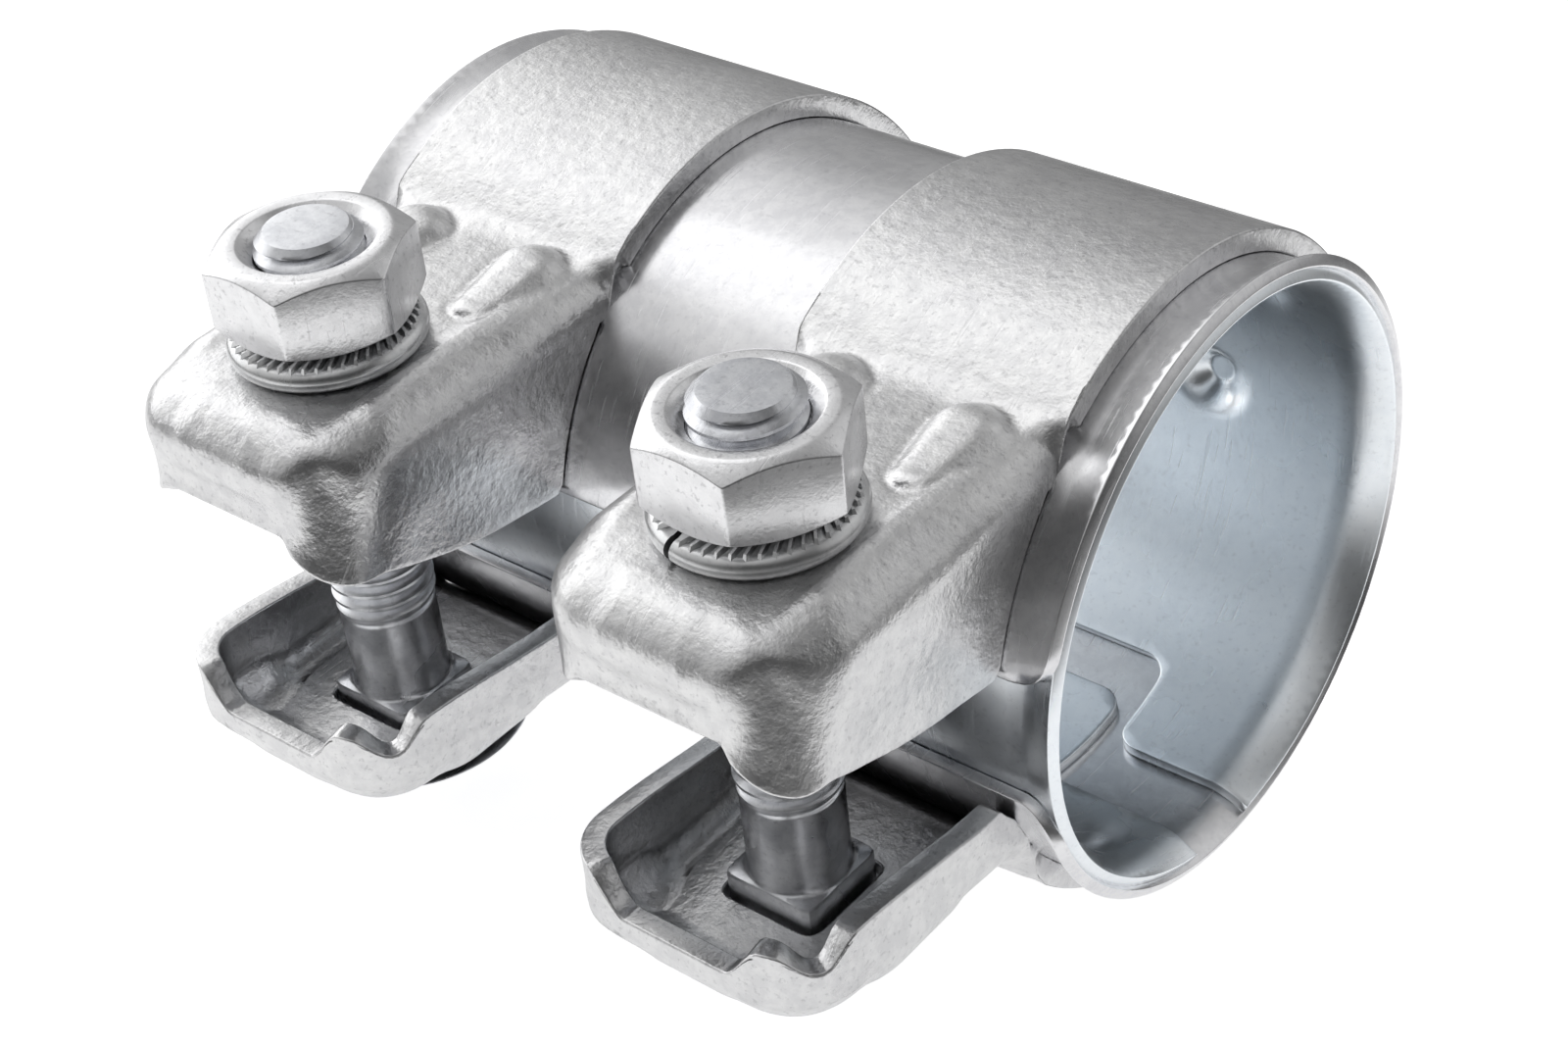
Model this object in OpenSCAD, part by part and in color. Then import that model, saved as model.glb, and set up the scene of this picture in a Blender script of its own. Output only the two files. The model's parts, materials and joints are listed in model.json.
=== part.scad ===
// Exhaust pipe connector: two nested slit tubes held by two bolted clamps.
// The tube lies along X with its middle at the origin. The bolts stand on the -Y side.
// Shapes are drawn with the bolts along Z, then leaned over to the pose in which the part lies on a floor.

/* [Pipe] */
// Outer diameter of the two pipes that the connector joins, which is the liner's bore
pipe_d = 54.5; // [45:0.5:65]
// Length of both tubes, rim to rim
tube_l = 90; // [80:1:130]
// Thickness of the liner's sheet
liner_t = 1.2; // [0.8:0.1:1.5]
// Thickness of the outer sleeve's sheet
sleeve_t = 1.2; // [0.8:0.1:1.5]

/* [Flared rims] */
// Length of the flare at each end
flare_l = 3.2; // [2:0.1:5]
// How far the flare opens outward
flare_h = 1.3; // [0.6:0.1:2.5]

/* [Slots] */
// Width of the sleeve's slot, between the ears of the clamps
sleeve_slot_w = 13.5; // [8:0.5:16]
// Corner radius where the sleeve's slot meets a rim
sleeve_corner_r = 4.5; // [2:0.5:6]
// Direction of the liner's stepped seam, seen along the tube
seam_angle = -84; // [-100:1:-75]
// Width of the open seam next to each rim
seam_w = 8.8; // [5:0.2:12]
// Length of the tongue that locks the middle of the seam
tongue_l = 55; // [30:1:60]
// How far the tongue stands out past the seam's edge
tongue_reach = 14.6; // [8:0.2:18]
// Space between the tongue's end and the notch that it enters
tongue_end_gap = 5.4; // [3:0.2:8]
// Space between the tongue's sides and the notch
tongue_side_gap = 2; // [1:0.1:4]
// Corner radius of the tongue and its notch
tongue_r = 2.6; // [1:0.1:4]

/* [Clamps] */
// Distance between the two bolts along the tube
clamp_pitch = 50.3; // [44:0.1:60]
// Width of each clamp along the tube
clamp_w = 28.6; // [26.5:0.1:36]
// Thickness of the clamps' sheet
strap_t = 2.3; // [1.8:0.1:3]
// Distance from the tube's axis to the bolts
bolt_reach = 41; // [40:0.5:50]
// Height of the upper ear's flat seat above the tube's axis
upper_ear_h = 26; // [22:0.5:28]
// Depth of the lower ear's flat seat below the tube's axis
lower_ear_h = 16.7; // [14:0.1:20]
// Distance from the bolt to the outer end of the ears
ear_end = 16.5; // [15:0.5:20]
// Depth of the lower ear's open edge below the tube's axis
lower_edge_h = 6.8; // [5:0.1:8]
// Height of the upper ear's open edge above the tube's axis, next to the tube
upper_edge_h = 7; // [5:0.1:9]
// Radius of the long curve that the upper ear's open edge follows
upper_edge_r = 48; // [40:1:90]
// Radius of the hollow bend where the strap turns into the upper ear, outside
root_bend_r = 7; // [3:0.5:12]
// Bend radius between an ear's seat and its end wall, outside
end_bend_r = 6; // [4:0.5:8]
// Bend radius along an ear's sides, outside
side_bend_r = 3.8; // [3:0.1:5]
// Corner radius between an ear's end wall and its sides, outside
corner_r = 5; // [3.5:0.1:7]
// Slope at which the strap leaves the tube toward the lower ear
strap_slope = 45; // [44:1:52]
// Radius of the upright flutes pressed into the upper ear's corners
flute_r = 4.2; // [3:0.1:4.6]
// Depth of the flutes' round tops below the upper ear's seat
flute_top = 7; // [6:0.5:9]
// Width of the shallow notch in each end wall
notch_w = 15; // [10:0.5:18]
// Corner radius of the notches
notch_r = 2; // [0.5:0.1:3]
// Depth of the lower ear's notch
lower_notch_h = 4.4; // [2:0.2:5]
// Depth of the upper ear's notch
upper_notch_h = 1.2; // [0.6:0.1:3]

/* [Stiffening darts] */
// Distance from the bolt to each dart along the tube
dart_offset = 7.4; // [6:0.1:9]
// Radius of the dart's broad end on the strap
dart_r = 3; // [2.4:0.1:3.1]
// Radius of the dart's narrow end on the ear
dart_tip_r = 1.8; // [0.8:0.1:2]
// Distance from the bolt to the dart's narrow end
dart_tip_reach = 8.6; // [8:0.1:10]
// Distance from the bolt to the dart's broad end
dart_root_reach = 22; // [20:0.1:23.5]

/* [Stakes behind each clamp] */
// Radius of the stake's mouth in the bore
stake_r = 4.1; // [3:0.1:5]
// Radius of the stake's flat floor
stake_floor_r = 1.6; // [1:0.1:2.2]
// Depth of the stake, pressed outward
stake_h = 2.2; // [1.5:0.1:2.4]

/* [Bolts] */
// Thread diameter
bolt_d = 10; // [8:0.5:12]
// Length of the bolt under its head
bolt_l = 55.5; // [54:0.5:60]
// Length of the threaded part
thread_l = 42; // [36:1:44]
// Diameter of the plain shank
shank_d = 9; // [7:0.1:9.2]
// Width of the square neck
neck_w = 9.8; // [9.2:0.1:10.4]
// Height of the square neck
neck_h = 6; // [4:0.1:7]
// Diameter of the domed head
head_d = 24; // [20:0.5:26]
// Height of the domed head
head_h = 5; // [4:0.1:6]
// Length of the chamfer at the bolt's tip
tip_chamfer = 1.1; // [0.5:0.1:1.5]
// How far the rear bolt hangs below its seat
rear_bolt_drop = 0.8; // [0:0.1:1]

/* [Nuts] */
// Width across the flats
nut_af = 17; // [16:0.5:19]
// Height of the nut
nut_h = 8; // [7:0.1:9]
// Diameter of the flat ring left by the outer chamfer
nut_ring_d = 15.4; // [14.5:0.1:15.9]
// Diameter of the countersink at each end of the thread
countersink_d = 12.8; // [11.2:0.1:13.4]
// Depth of the countersink
countersink_h = 1.4; // [0.8:0.1:1.8]
// Turn of the nuts about their bolts
nut_turn = -2; // [-30:1:30]

/* [Lock washers] */
// Outer diameter
washer_d = 18.5; // [17:0.1:20]
// Diameter of the hole
washer_hole_d = 10.4; // [10.3:0.1:11]
// Thickness of the spring sheet
washer_t = 2.3; // [1.8:0.1:2.6]
// How far the cone lifts the inner edge
washer_cone = 1.3; // [0.4:0.1:1.5]
// Width of the split
washer_split = 0.7; // [0.4:0.1:1.2]
// Direction of the front washer's split, seen from above
front_split_angle = -103; // [-180:1:180]
// Direction of the rear washer's split, seen from above
rear_split_angle = 75; // [-180:1:180]

/* [Fits] */
// Gap between nested sheets
nest_gap = 0.05; // [0.02:0.01:0.15]
// Gap around the square neck in its hole
neck_gap = 0.5; // [0.2:0.1:0.8]
// Gap around the bolt in the upper ear's hole
hole_gap = 0.5; // [0.3:0.1:1]
// Radial running gap between nut and bolt
thread_gap = 0.05; // [0.02:0.01:0.1]

/* [Hidden] */
$fn = 96;

zinc = [0.78, 0.79, 0.80];
zinc_dark = [0.62, 0.64, 0.67];
// Overlap that a cutter has past the face that it cuts
past = 1;

bore_r = pipe_d / 2;
liner_r = bore_r + liner_t;
sleeve_in_r = liner_r + nest_gap;
sleeve_r = sleeve_in_r + sleeve_t;
strap_in_r = sleeve_r + nest_gap;
strap_r = strap_in_r + strap_t;
bolt_y = -bolt_reach;
end_y = bolt_y - ear_end;
neck_hole_w = neck_w + 2 * neck_gap;
stake_slope = (stake_r - stake_floor_r) / stake_h;
side_x = clamp_pitch / 2;

// The washer's rim, and the ring on its cone that the nut's countersink rests on
washer_rim_r = washer_t / 2;
rim_y = washer_d / 2 - washer_rim_r;
cone_share = (rim_y - countersink_d / 2) / (rim_y - washer_hole_d / 2);
nut_seat_z = upper_ear_h + washer_t + washer_cone * cone_share;

// Height of the upper ear's open edge at its end wall
upper_end_z = upper_edge_h + upper_edge_r - sqrt(pow(upper_edge_r, 2) - pow(-end_y - strap_in_r, 2));

// The domed head is a slice of this ball
dome_r = (pow(head_d / 2, 2) + pow(head_h, 2)) / (2 * head_h);
dome_z = dome_r - lower_ear_h - head_h;
lowest_dome_z = dome_z - rear_bolt_drop;
// Lean at which the straps and the rear bolt's head touch the floor together
rest_lean = asin((strap_r - dome_r) / norm([bolt_reach, lowest_dome_z]))
    - atan2(-lowest_dome_z, bolt_reach);

// Places where the strap leaves its round for the ears
upper_root = acos(upper_ear_h / strap_r);
slope_y = -strap_r * sin(strap_slope);
slope_z = -strap_r * cos(strap_slope);
bend_y = slope_y - (-lower_ear_h - slope_z) / tan(strap_slope);
root_y = -sqrt(pow(strap_r + root_bend_r, 2) - pow(upper_ear_h + root_bend_r, 2));

module leaned() {
    rotate([rest_lean, 0, 0]) children();
}

// Draws a [y, z] outline and stretches it along X, centred
module across(width) {
    rotate([90, 0, 90]) translate([0, 0, -width / 2]) linear_extrude(width) children();
}

module tube_x(radius, length) {
    rotate([0, 90, 0]) cylinder(h = length, r = radius, center = true);
}

// A rectangle with its lower left corner at the origin and true round corners
module rounded(size, radius) {
    translate([radius, 0]) square([size[0] - 2 * radius, size[1]]);
    translate([0, radius]) square([size[0], size[1] - 2 * radius]);
    for (x = [radius, size[0] - radius], y = [radius, size[1] - radius])
        translate([x, y]) circle(radius);
}

// The waste that rounds an outward corner off: the corner is at the origin, the sheet at +x and +y
module corner_waste(radius) {
    difference() {
        translate([-past, -past]) square(radius + past);
        translate([radius, radius]) circle(radius);
    }
}

// A slit tube's wall with both ends flared
module flared_wall(inner_r, sheet_t) {
    half = tube_l / 2;
    straight = half - flare_l;
    outer_r = inner_r + sheet_t;
    rotate([0, 90, 0]) rotate_extrude() polygon([
        [inner_r + flare_h, -half], [inner_r, -straight], [inner_r, straight], [inner_r + flare_h, half],
        [outer_r + flare_h, half], [outer_r, straight], [outer_r, -straight], [outer_r + flare_h, -half]
    ]);
}

// The form pressed outward at x = 0, from a wall of the given radius, starting back behind that wall
module stake(wall_r, back) {
    translate([0, wall_r - back, 0]) rotate([-90, 0, 0])
        cylinder(h = stake_h + back, r1 = stake_r + back * stake_slope, r2 = stake_floor_r);
}

// A round wall with a stake behind each clamp: every sheet follows the one inside it
module staked(inner_r, outer_r) {
    difference() {
        union() {
            children();
            for (x = [-side_x, side_x]) translate([x, 0, 0]) stake(outer_r, (outer_r - inner_r) / 2);
        }
        for (x = [-side_x, side_x]) translate([x, 0, 0]) stake(inner_r, past);
    }
}

module outer_sleeve_body() {
    half = tube_l / 2;
    difference() {
        staked(sleeve_in_r, sleeve_r) flared_wall(sleeve_in_r, sleeve_t);
        rotate([90, 0, 0]) linear_extrude(strap_r + flare_h + past) {
            square([tube_l + 2 * past, sleeve_slot_w], center = true);
            for (end = [0, 1], side = [0, 1])
                mirror([end, 0]) mirror([0, side])
                    translate([half, sleeve_slot_w / 2]) mirror([1, 0]) corner_waste(sleeve_corner_r);
        }
    }
}

// The liner's seam, drawn flat: x along the tube, y around it, with the tongue standing toward +y
module seam_outline() {
    notch_l = tongue_l + 2 * tongue_side_gap;
    reach = tongue_reach + tongue_end_gap;
    translate([0, -reach / 2]) difference() {
        union() {
            translate([-tube_l / 2 - past, 0]) square([tube_l + 2 * past, seam_w]);
            translate([-notch_l / 2, 0]) rounded([notch_l, reach], tongue_r);
            for (end = [0, 1])
                mirror([end, 0]) translate([notch_l / 2, seam_w]) corner_waste(tongue_r);
        }
        translate([-tongue_l / 2, -tongue_r]) rounded([tongue_l, tongue_reach + tongue_r], tongue_r);
    }
}

module inner_liner_body() {
    difference() {
        staked(bore_r, liner_r) flared_wall(bore_r, liner_t);
        rotate([seam_angle + 90, 0, 0]) mirror([0, 0, 1]) linear_extrude(strap_r + flare_h) seam_outline();
    }
}

// The outline of an ear seen from the side, moved inward by inset
module upper_side(inset) {
    top = upper_ear_h - inset;
    outer_end = end_y + inset;
    bend = end_bend_r - inset;
    difference() {
        union() {
            translate([outer_end + bend, 0]) square([-outer_end - bend, top]);
            translate([outer_end, 0]) square([bend * 2, top - bend]);
            translate([outer_end + bend, top - bend]) circle(bend);
        }
        circle(strap_in_r - past);
    }
}

module lower_side(inset) {
    base = -lower_ear_h + inset;
    outer_end = end_y + inset;
    bend = end_bend_r - inset;
    // The strap's slope moves square to itself
    shift = inset / cos(strap_slope);
    difference() {
        union() {
            translate([outer_end + bend, base]) square([-outer_end - bend, -base]);
            translate([outer_end, base + bend]) square([bend * 2, -base - bend]);
            translate([outer_end + bend, base + bend]) circle(bend);
            polygon([
                [slope_y, slope_z + shift], [bend_y, -lower_ear_h + shift], [bend_y, 0], [slope_y, 0]
            ]);
        }
        circle(strap_in_r - past);
    }
}

// A blank with round corners at the ear's end and round bends along its sides
module ear_blank(inset, base) {
    width = clamp_w - 2 * inset;
    bend = side_bend_r - inset;
    corner = corner_r - inset;
    height = 3 * strap_r;
    outer_end = end_y + inset;
    intersection() {
        translate([0, 0, -height / 2]) linear_extrude(height) translate([-width / 2, outer_end])
            rounded([width, -outer_end + 2 * corner], corner);
        rotate([90, 0, 0]) linear_extrude(height) translate([-width / 2, base])
            rounded([width, height], bend);
    }
}

module upper_solid(inset) {
    intersection() {
        across(clamp_w) upper_side(inset);
        mirror([0, 0, 1]) ear_blank(inset, inset - upper_ear_h);
    }
}

module lower_solid(inset) {
    intersection() {
        across(clamp_w) lower_side(inset);
        ear_blank(inset, slope_z + inset);
    }
}

// Everything above the curved open edge of the upper ear
module upper_edge_keep() {
    across(clamp_w + 2 * past)
        translate([-strap_in_r, upper_edge_h + upper_edge_r]) circle(upper_edge_r);
}

// A round-cornered notch in an end wall, from the height base upward
module end_notch(base, height) {
    translate([0, bolt_y, 0]) rotate([90, 0, 0]) linear_extrude(ear_end + past)
        translate([-notch_w / 2, base]) rounded([notch_w, height], notch_r);
}

// Upright flutes at the upper ear's two corners, grown by the sheet for the inside
module flutes(grow) {
    for (side = [-1, 1]) translate([side * clamp_w / 2, end_y, upper_ear_h - flute_top]) {
        translate([0, 0, -upper_ear_h]) cylinder(h = upper_ear_h, r = flute_r + grow);
        sphere(flute_r + grow);
    }
}

module upper_ear() {
    difference() {
        intersection() {
            upper_solid(0);
            upper_edge_keep();
        }
        difference() {
            upper_solid(strap_t);
            flutes(strap_t);
        }
        flutes(0);
        end_notch(upper_end_z + upper_notch_h - upper_ear_h, upper_ear_h);
    }
}

module lower_ear() {
    difference() {
        lower_solid(0);
        lower_solid(strap_t);
        translate([-clamp_w, 2 * end_y, -lower_edge_h]) cube([2 * clamp_w, -2 * end_y, strap_r]);
        end_notch(-lower_edge_h - lower_notch_h, upper_ear_h);
    }
}

// The hollow bend between the strap's round and the upper ear's flat seat
module root_bend() {
    // The bend meets the strap's round on the line between their centres
    share = strap_r / (strap_r + root_bend_r);
    across(clamp_w) difference() {
        polygon([
            [root_y, upper_ear_h - strap_t], [root_y, upper_ear_h],
            share * [root_y, upper_ear_h + root_bend_r], [0, upper_ear_h - strap_t]
        ]);
        translate([root_y, upper_ear_h + root_bend_r]) circle(root_bend_r);
    }
}

module clamp() {
    difference() {
        union() {
            // The strap, as far as the ears on both sides
            difference() {
                tube_x(strap_r, clamp_w);
                across(clamp_w + 2 * past) polygon([
                    [0, 0], [-2 * strap_r * sin(upper_root), 2 * strap_r * cos(upper_root)],
                    [-3 * strap_r, 0], [-3 * strap_r, -2 * strap_r], [slope_y, -2 * strap_r], [slope_y, 0]
                ]);
            }
            upper_ear();
            lower_ear();
            root_bend();
            darts();
            stake(strap_r, strap_t / 2);
        }
        tube_x(strap_in_r, clamp_w + 2 * past);
        stake(strap_in_r, past);
        translate([0, bolt_y, 0]) cylinder(h = upper_ear_h + past, d = bolt_d + 2 * hole_gap);
        translate([-neck_hole_w / 2, bolt_y - neck_hole_w / 2, -lower_ear_h - past])
            cube([neck_hole_w, neck_hole_w, lower_ear_h]);
    }
}

// Teardrop ribs that stiffen the bend between strap and upper ear
module darts() {
    broad_y = bolt_y + dart_root_reach;
    broad_z = sqrt(pow(strap_r, 2) - pow(broad_y, 2)) - dart_r / 2.5;
    tip_y = bolt_y + dart_tip_reach;
    tip_z = upper_ear_h - dart_tip_r / 2;
    run = norm([broad_y - tip_y, broad_z - tip_z]);
    for (side = [-1, 1]) translate([side * dart_offset, 0, 0]) {
        translate([0, broad_y, broad_z]) sphere(dart_r);
        translate([0, tip_y, tip_z]) sphere(dart_tip_r);
        translate([0, tip_y, tip_z]) rotate([-90 + atan2(broad_z - tip_z, broad_y - tip_y), 0, 0])
            cylinder(h = run, r1 = dart_tip_r, r2 = dart_r);
    }
}

module bolt() {
    neck_top = neck_h - lower_ear_h;
    tip_z = bolt_l - lower_ear_h;
    intersection() {
        translate([0, 0, dome_z]) sphere(dome_r);
        translate([0, 0, -lower_ear_h - 2 * head_h]) cylinder(h = 2 * head_h, d = head_d + head_h);
    }
    translate([-neck_w / 2, -neck_w / 2, -lower_ear_h]) cube([neck_w, neck_w, neck_h]);
    translate([0, 0, -lower_ear_h]) cylinder(h = bolt_l - thread_l, d = shank_d);
    translate([0, 0, tip_z - thread_l]) cylinder(h = thread_l - tip_chamfer, d = bolt_d);
    translate([0, 0, tip_z - tip_chamfer])
        cylinder(h = tip_chamfer, d1 = bolt_d, d2 = bolt_d - 2 * tip_chamfer);
}

// Hexagon nut with both faces chamfered and countersunk, standing on the washer
module nut() {
    corner_d = nut_af / cos(30);
    turned_r = corner_d / 2 + past;
    chamfer_h = (turned_r - nut_ring_d / 2) * tan(30);
    hole_d = bolt_d + 2 * thread_gap;
    difference() {
        intersection() {
            rotate([0, 0, nut_turn]) cylinder(h = nut_h, d = corner_d, $fn = 6);
            rotate_extrude() polygon([
                [0, 0], [nut_ring_d / 2, 0], [turned_r, chamfer_h],
                [turned_r, nut_h - chamfer_h], [nut_ring_d / 2, nut_h], [0, nut_h]
            ]);
        }
        translate([0, 0, -past]) cylinder(h = nut_h + 2 * past, d = hole_d);
        translate([0, 0, nut_h - countersink_h])
            cylinder(h = countersink_h, d1 = hole_d, d2 = countersink_d);
        cylinder(h = countersink_h, d1 = countersink_d, d2 = hole_d);
    }
}

// Split spring washer, coned upward toward the bolt
module washer(split_angle) {
    inner = washer_hole_d / 2;
    difference() {
        union() {
            rotate_extrude() polygon([
                [inner, washer_cone], [inner, washer_cone + washer_t], [rim_y, washer_t], [rim_y, 0]
            ]);
            rotate_extrude() translate([rim_y, washer_rim_r]) circle(washer_rim_r, $fn = 32);
        }
        rotate([0, 0, split_angle]) translate([0, -washer_split / 2, -past])
            cube([washer_d, washer_split, washer_t + washer_cone + 2 * past]);
    }
}

module outer_sleeve() {
    color(zinc) leaned() outer_sleeve_body();
}

module inner_liner() {
    color(zinc_dark) leaned() inner_liner_body();
}

module front_clamp() {
    color(zinc) leaned() translate([side_x, 0, 0]) clamp();
}

module rear_clamp() {
    color(zinc) leaned() translate([-side_x, 0, 0]) clamp();
}

module front_bolt() {
    color(zinc_dark) leaned() translate([side_x, bolt_y, 0]) bolt();
}

module rear_bolt() {
    color(zinc_dark) leaned() translate([-side_x, bolt_y, -rear_bolt_drop]) bolt();
}

module front_nut() {
    color(zinc) leaned() translate([side_x, bolt_y, nut_seat_z]) nut();
}

module rear_nut() {
    color(zinc) leaned() translate([-side_x, bolt_y, nut_seat_z]) nut();
}

module front_washer() {
    color(zinc_dark) leaned() translate([side_x, bolt_y, upper_ear_h]) washer(front_split_angle);
}

module rear_washer() {
    color(zinc_dark) leaned() translate([-side_x, bolt_y, upper_ear_h]) washer(rear_split_angle);
}

outer_sleeve();
inner_liner();
front_clamp();
rear_clamp();
front_bolt();
rear_bolt();
front_nut();
rear_nut();
front_washer();
rear_washer();
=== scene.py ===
"""Exhaust pipe connector: two nested slit tubes held by two pressed clamps with bolts, nuts and lock washers.

Every shape is worked out in millimetres with the bolts along Z, as in the part's source. It is then leaned over to the
pose in which the part lies on a floor, and written in metres.
"""

import json
import logging
import math
from dataclasses import dataclass, field
from enum import Enum
from typing import Callable

import bmesh
import bpy
import numpy as np
from mathutils import Matrix, Vector
from mathutils.geometry import delaunay_2d_cdt


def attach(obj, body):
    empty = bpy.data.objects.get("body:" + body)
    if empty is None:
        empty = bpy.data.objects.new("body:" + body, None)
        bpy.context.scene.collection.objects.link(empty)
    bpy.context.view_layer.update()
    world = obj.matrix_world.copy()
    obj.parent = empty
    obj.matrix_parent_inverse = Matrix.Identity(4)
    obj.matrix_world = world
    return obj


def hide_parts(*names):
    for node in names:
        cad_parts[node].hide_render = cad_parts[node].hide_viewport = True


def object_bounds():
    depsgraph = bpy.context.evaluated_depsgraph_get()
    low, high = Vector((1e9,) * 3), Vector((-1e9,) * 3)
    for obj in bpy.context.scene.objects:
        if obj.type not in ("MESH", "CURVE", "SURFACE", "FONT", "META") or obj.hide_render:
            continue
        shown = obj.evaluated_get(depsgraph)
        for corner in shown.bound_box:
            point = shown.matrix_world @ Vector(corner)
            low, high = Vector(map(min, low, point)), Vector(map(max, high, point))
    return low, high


LOG = logging.getLogger("connector")
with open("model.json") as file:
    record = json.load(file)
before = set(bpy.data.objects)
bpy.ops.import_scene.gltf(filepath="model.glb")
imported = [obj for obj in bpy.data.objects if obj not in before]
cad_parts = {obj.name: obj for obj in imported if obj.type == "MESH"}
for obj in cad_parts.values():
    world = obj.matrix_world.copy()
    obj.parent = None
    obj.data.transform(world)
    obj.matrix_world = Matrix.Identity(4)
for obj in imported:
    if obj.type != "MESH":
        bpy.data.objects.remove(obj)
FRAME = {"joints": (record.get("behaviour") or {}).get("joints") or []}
CAD_BOX = [[float(v) for v in corner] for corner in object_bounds()]

MM = 0.001
SLIDE_AXIS = next(j["axis"] for j in FRAME["joints"] if j["name"] == "front_bolt_slide")
LEAN = math.atan2(-SLIDE_AXIS[1], SLIDE_AXIS[2])

Array = np.ndarray
Number = np.ndarray | float
Point = tuple[float, float]
Face = tuple[int, ...]
Triple = tuple[float, float, float]
Mesh = bpy.types.Mesh
Material = bpy.types.Material
Piece = bpy.types.Object
Socket = bpy.types.NodeSocket
Sockets = dict[str, Socket]


class End(Enum):
    """Which end of the connector a clamp stands at; the value is the sign of its place along the tube."""

    FRONT = 1
    REAR = -1

    def named(self, kind: str) -> str:
        """The name of this end's piece of a kind, which is also its node's."""
        return f"{self.name.lower()}_{kind}"


@dataclass(frozen=True)
class Sizes:
    """The connector's shared sizes, in millimetres."""

    pipe_d: float = 54.5
    tube_l: float = 90.0
    liner_t: float = 1.2
    sleeve_t: float = 1.2
    nest_gap: float = 0.05
    strap_t: float = 2.3
    clamp_pitch: float = 50.3
    clamp_w: float = 28.6
    bolt_reach: float = 41.0
    upper_ear_h: float = 26.0
    lower_ear_h: float = 16.7
    ear_end: float = 16.5
    stake_r: float = 4.1
    stake_floor_r: float = 1.6
    stake_h: float = 2.2

    @property
    def liner_r(self) -> float:
        """Outer radius of the liner."""
        return self.pipe_d / 2 + self.liner_t

    @property
    def sleeve_r(self) -> float:
        """Outer radius of the sleeve."""
        return self.liner_r + self.nest_gap + self.sleeve_t

    @property
    def strap_in_r(self) -> float:
        """Inner radius of the clamps' straps."""
        return self.sleeve_r + self.nest_gap

    @property
    def strap_r(self) -> float:
        """Outer radius of the clamps' straps."""
        return self.strap_in_r + self.strap_t

    @property
    def side_x(self) -> float:
        """Distance of each clamp's middle from the tube's middle."""
        return self.clamp_pitch / 2


SIZE = Sizes()


# Curves and points


def smooth(t: Number) -> Number:
    """Smooth step from 0 to 1 as t goes from 0 to 1."""
    t = np.clip(t, 0.0, 1.0)
    return t * t * (3 - 2 * t)


def rise(value: Number, start: float, span: float) -> Number:
    """Smooth step from 0 at start to 1 a span further on."""
    return smooth((value - start) / span)


def fade(value: Number, start: float, span: float) -> Number:
    """Smooth step from 1 at start to 0 a span further on."""
    return 1 - rise(value, start, span)


def bell(value: Number, middle: float, spread: float) -> Number:
    """Bell curve of height 1 round a middle value."""
    return np.exp(-((value - middle) / spread) ** 2)


def polar(r: Number, angles: Array, z: Number) -> Array:
    """Points round Z at a radius, angles and a height, as (n, 3)."""
    r, z = np.broadcast_to(r, angles.shape), np.broadcast_to(z, angles.shape)
    return np.stack([r * np.cos(angles), r * np.sin(angles), z], axis=1)


def leaned(points: Array) -> Array:
    """Lean points with the bolts along Z over to the resting pose.

    Args:
        points: An (n, 3) array.

    Returns:
        The turned (n, 3) array, in the same unit.
    """
    c, s = math.cos(LEAN), math.sin(LEAN)
    y, z = points[:, 1], points[:, 2]
    return np.stack([points[:, 0], y * c - z * s, y * s + z * c], axis=1)


# Meshes


class Surface:
    """A set of points and faces that grows patch by patch."""

    def __init__(self) -> None:
        """Start empty."""
        self.points: list[Array] = []
        self.faces: list[Face] = []
        self.count = 0

    def add(self, points: Array, faces: list[Face]) -> None:
        """Add a patch.

        Args:
            points: Its points, as (n, 3).
            faces: Its faces, which count its own points from 0.
        """
        self.points.append(np.asarray(points, float).reshape(-1, 3))
        self.faces += [tuple(i + self.count for i in f) for f in faces]
        self.count += len(self.points[-1])

    def grid(self, rows: Array, closed_u: bool = False, closed_v: bool = False, flip: bool = False) -> None:
        """Add a grid of quads.

        Args:
            rows: Points as (u, v, 3).
            closed_u: Join the last row to the first.
            closed_v: Join the last column to the first.
            flip: Turn the faces over.
        """
        nu, nv = rows.shape[:2]
        faces = []
        for i in range(nu if closed_u else nu - 1):
            for j in range(nv if closed_v else nv - 1):
                a, b = i * nv + j, i * nv + (j + 1) % nv
                c, d = ((i + 1) % nu) * nv + (j + 1) % nv, ((i + 1) % nu) * nv + j
                faces.append((d, c, b, a) if flip else (a, b, c, d))
        self.add(rows.reshape(-1, 3), faces)

    def fan(self, ring: Array, flip: bool = False) -> None:
        """Close a ring of points with a face to its middle from each side.

        Args:
            ring: The ring's points.
            flip: Turn the faces over.
        """
        n = len(ring)
        faces = [(i, (i + 1) % n, n) for i in range(n)]
        self.add(np.vstack([ring, ring.mean(axis=0)]), [f[::-1] for f in faces] if flip else faces)

    def all_points(self) -> Array:
        """Every point as one array."""
        return np.concatenate(self.points)

    def shift(self, x: float, y: float, z: float) -> None:
        """Move every point."""
        self.points = [self.all_points() + np.array([x, y, z])]

    def mesh(self, name: str, weld: float = 1e-4) -> Mesh:
        """Make a Blender mesh of the surface, in millimetres.

        Args:
            name: The mesh's name.
            weld: Points closer than this are joined.

        Returns:
            The mesh.
        """
        mesh = bpy.data.meshes.new(name)
        mesh.from_pydata(self.all_points().tolist(), [], self.faces)
        bm = bmesh.new()
        bm.from_mesh(mesh)
        bmesh.ops.remove_doubles(bm, verts=bm.verts, dist=weld)
        bmesh.ops.dissolve_degenerate(bm, edges=bm.edges, dist=weld)
        bm.to_mesh(mesh)
        bm.free()
        mesh.update()
        return mesh


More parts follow.
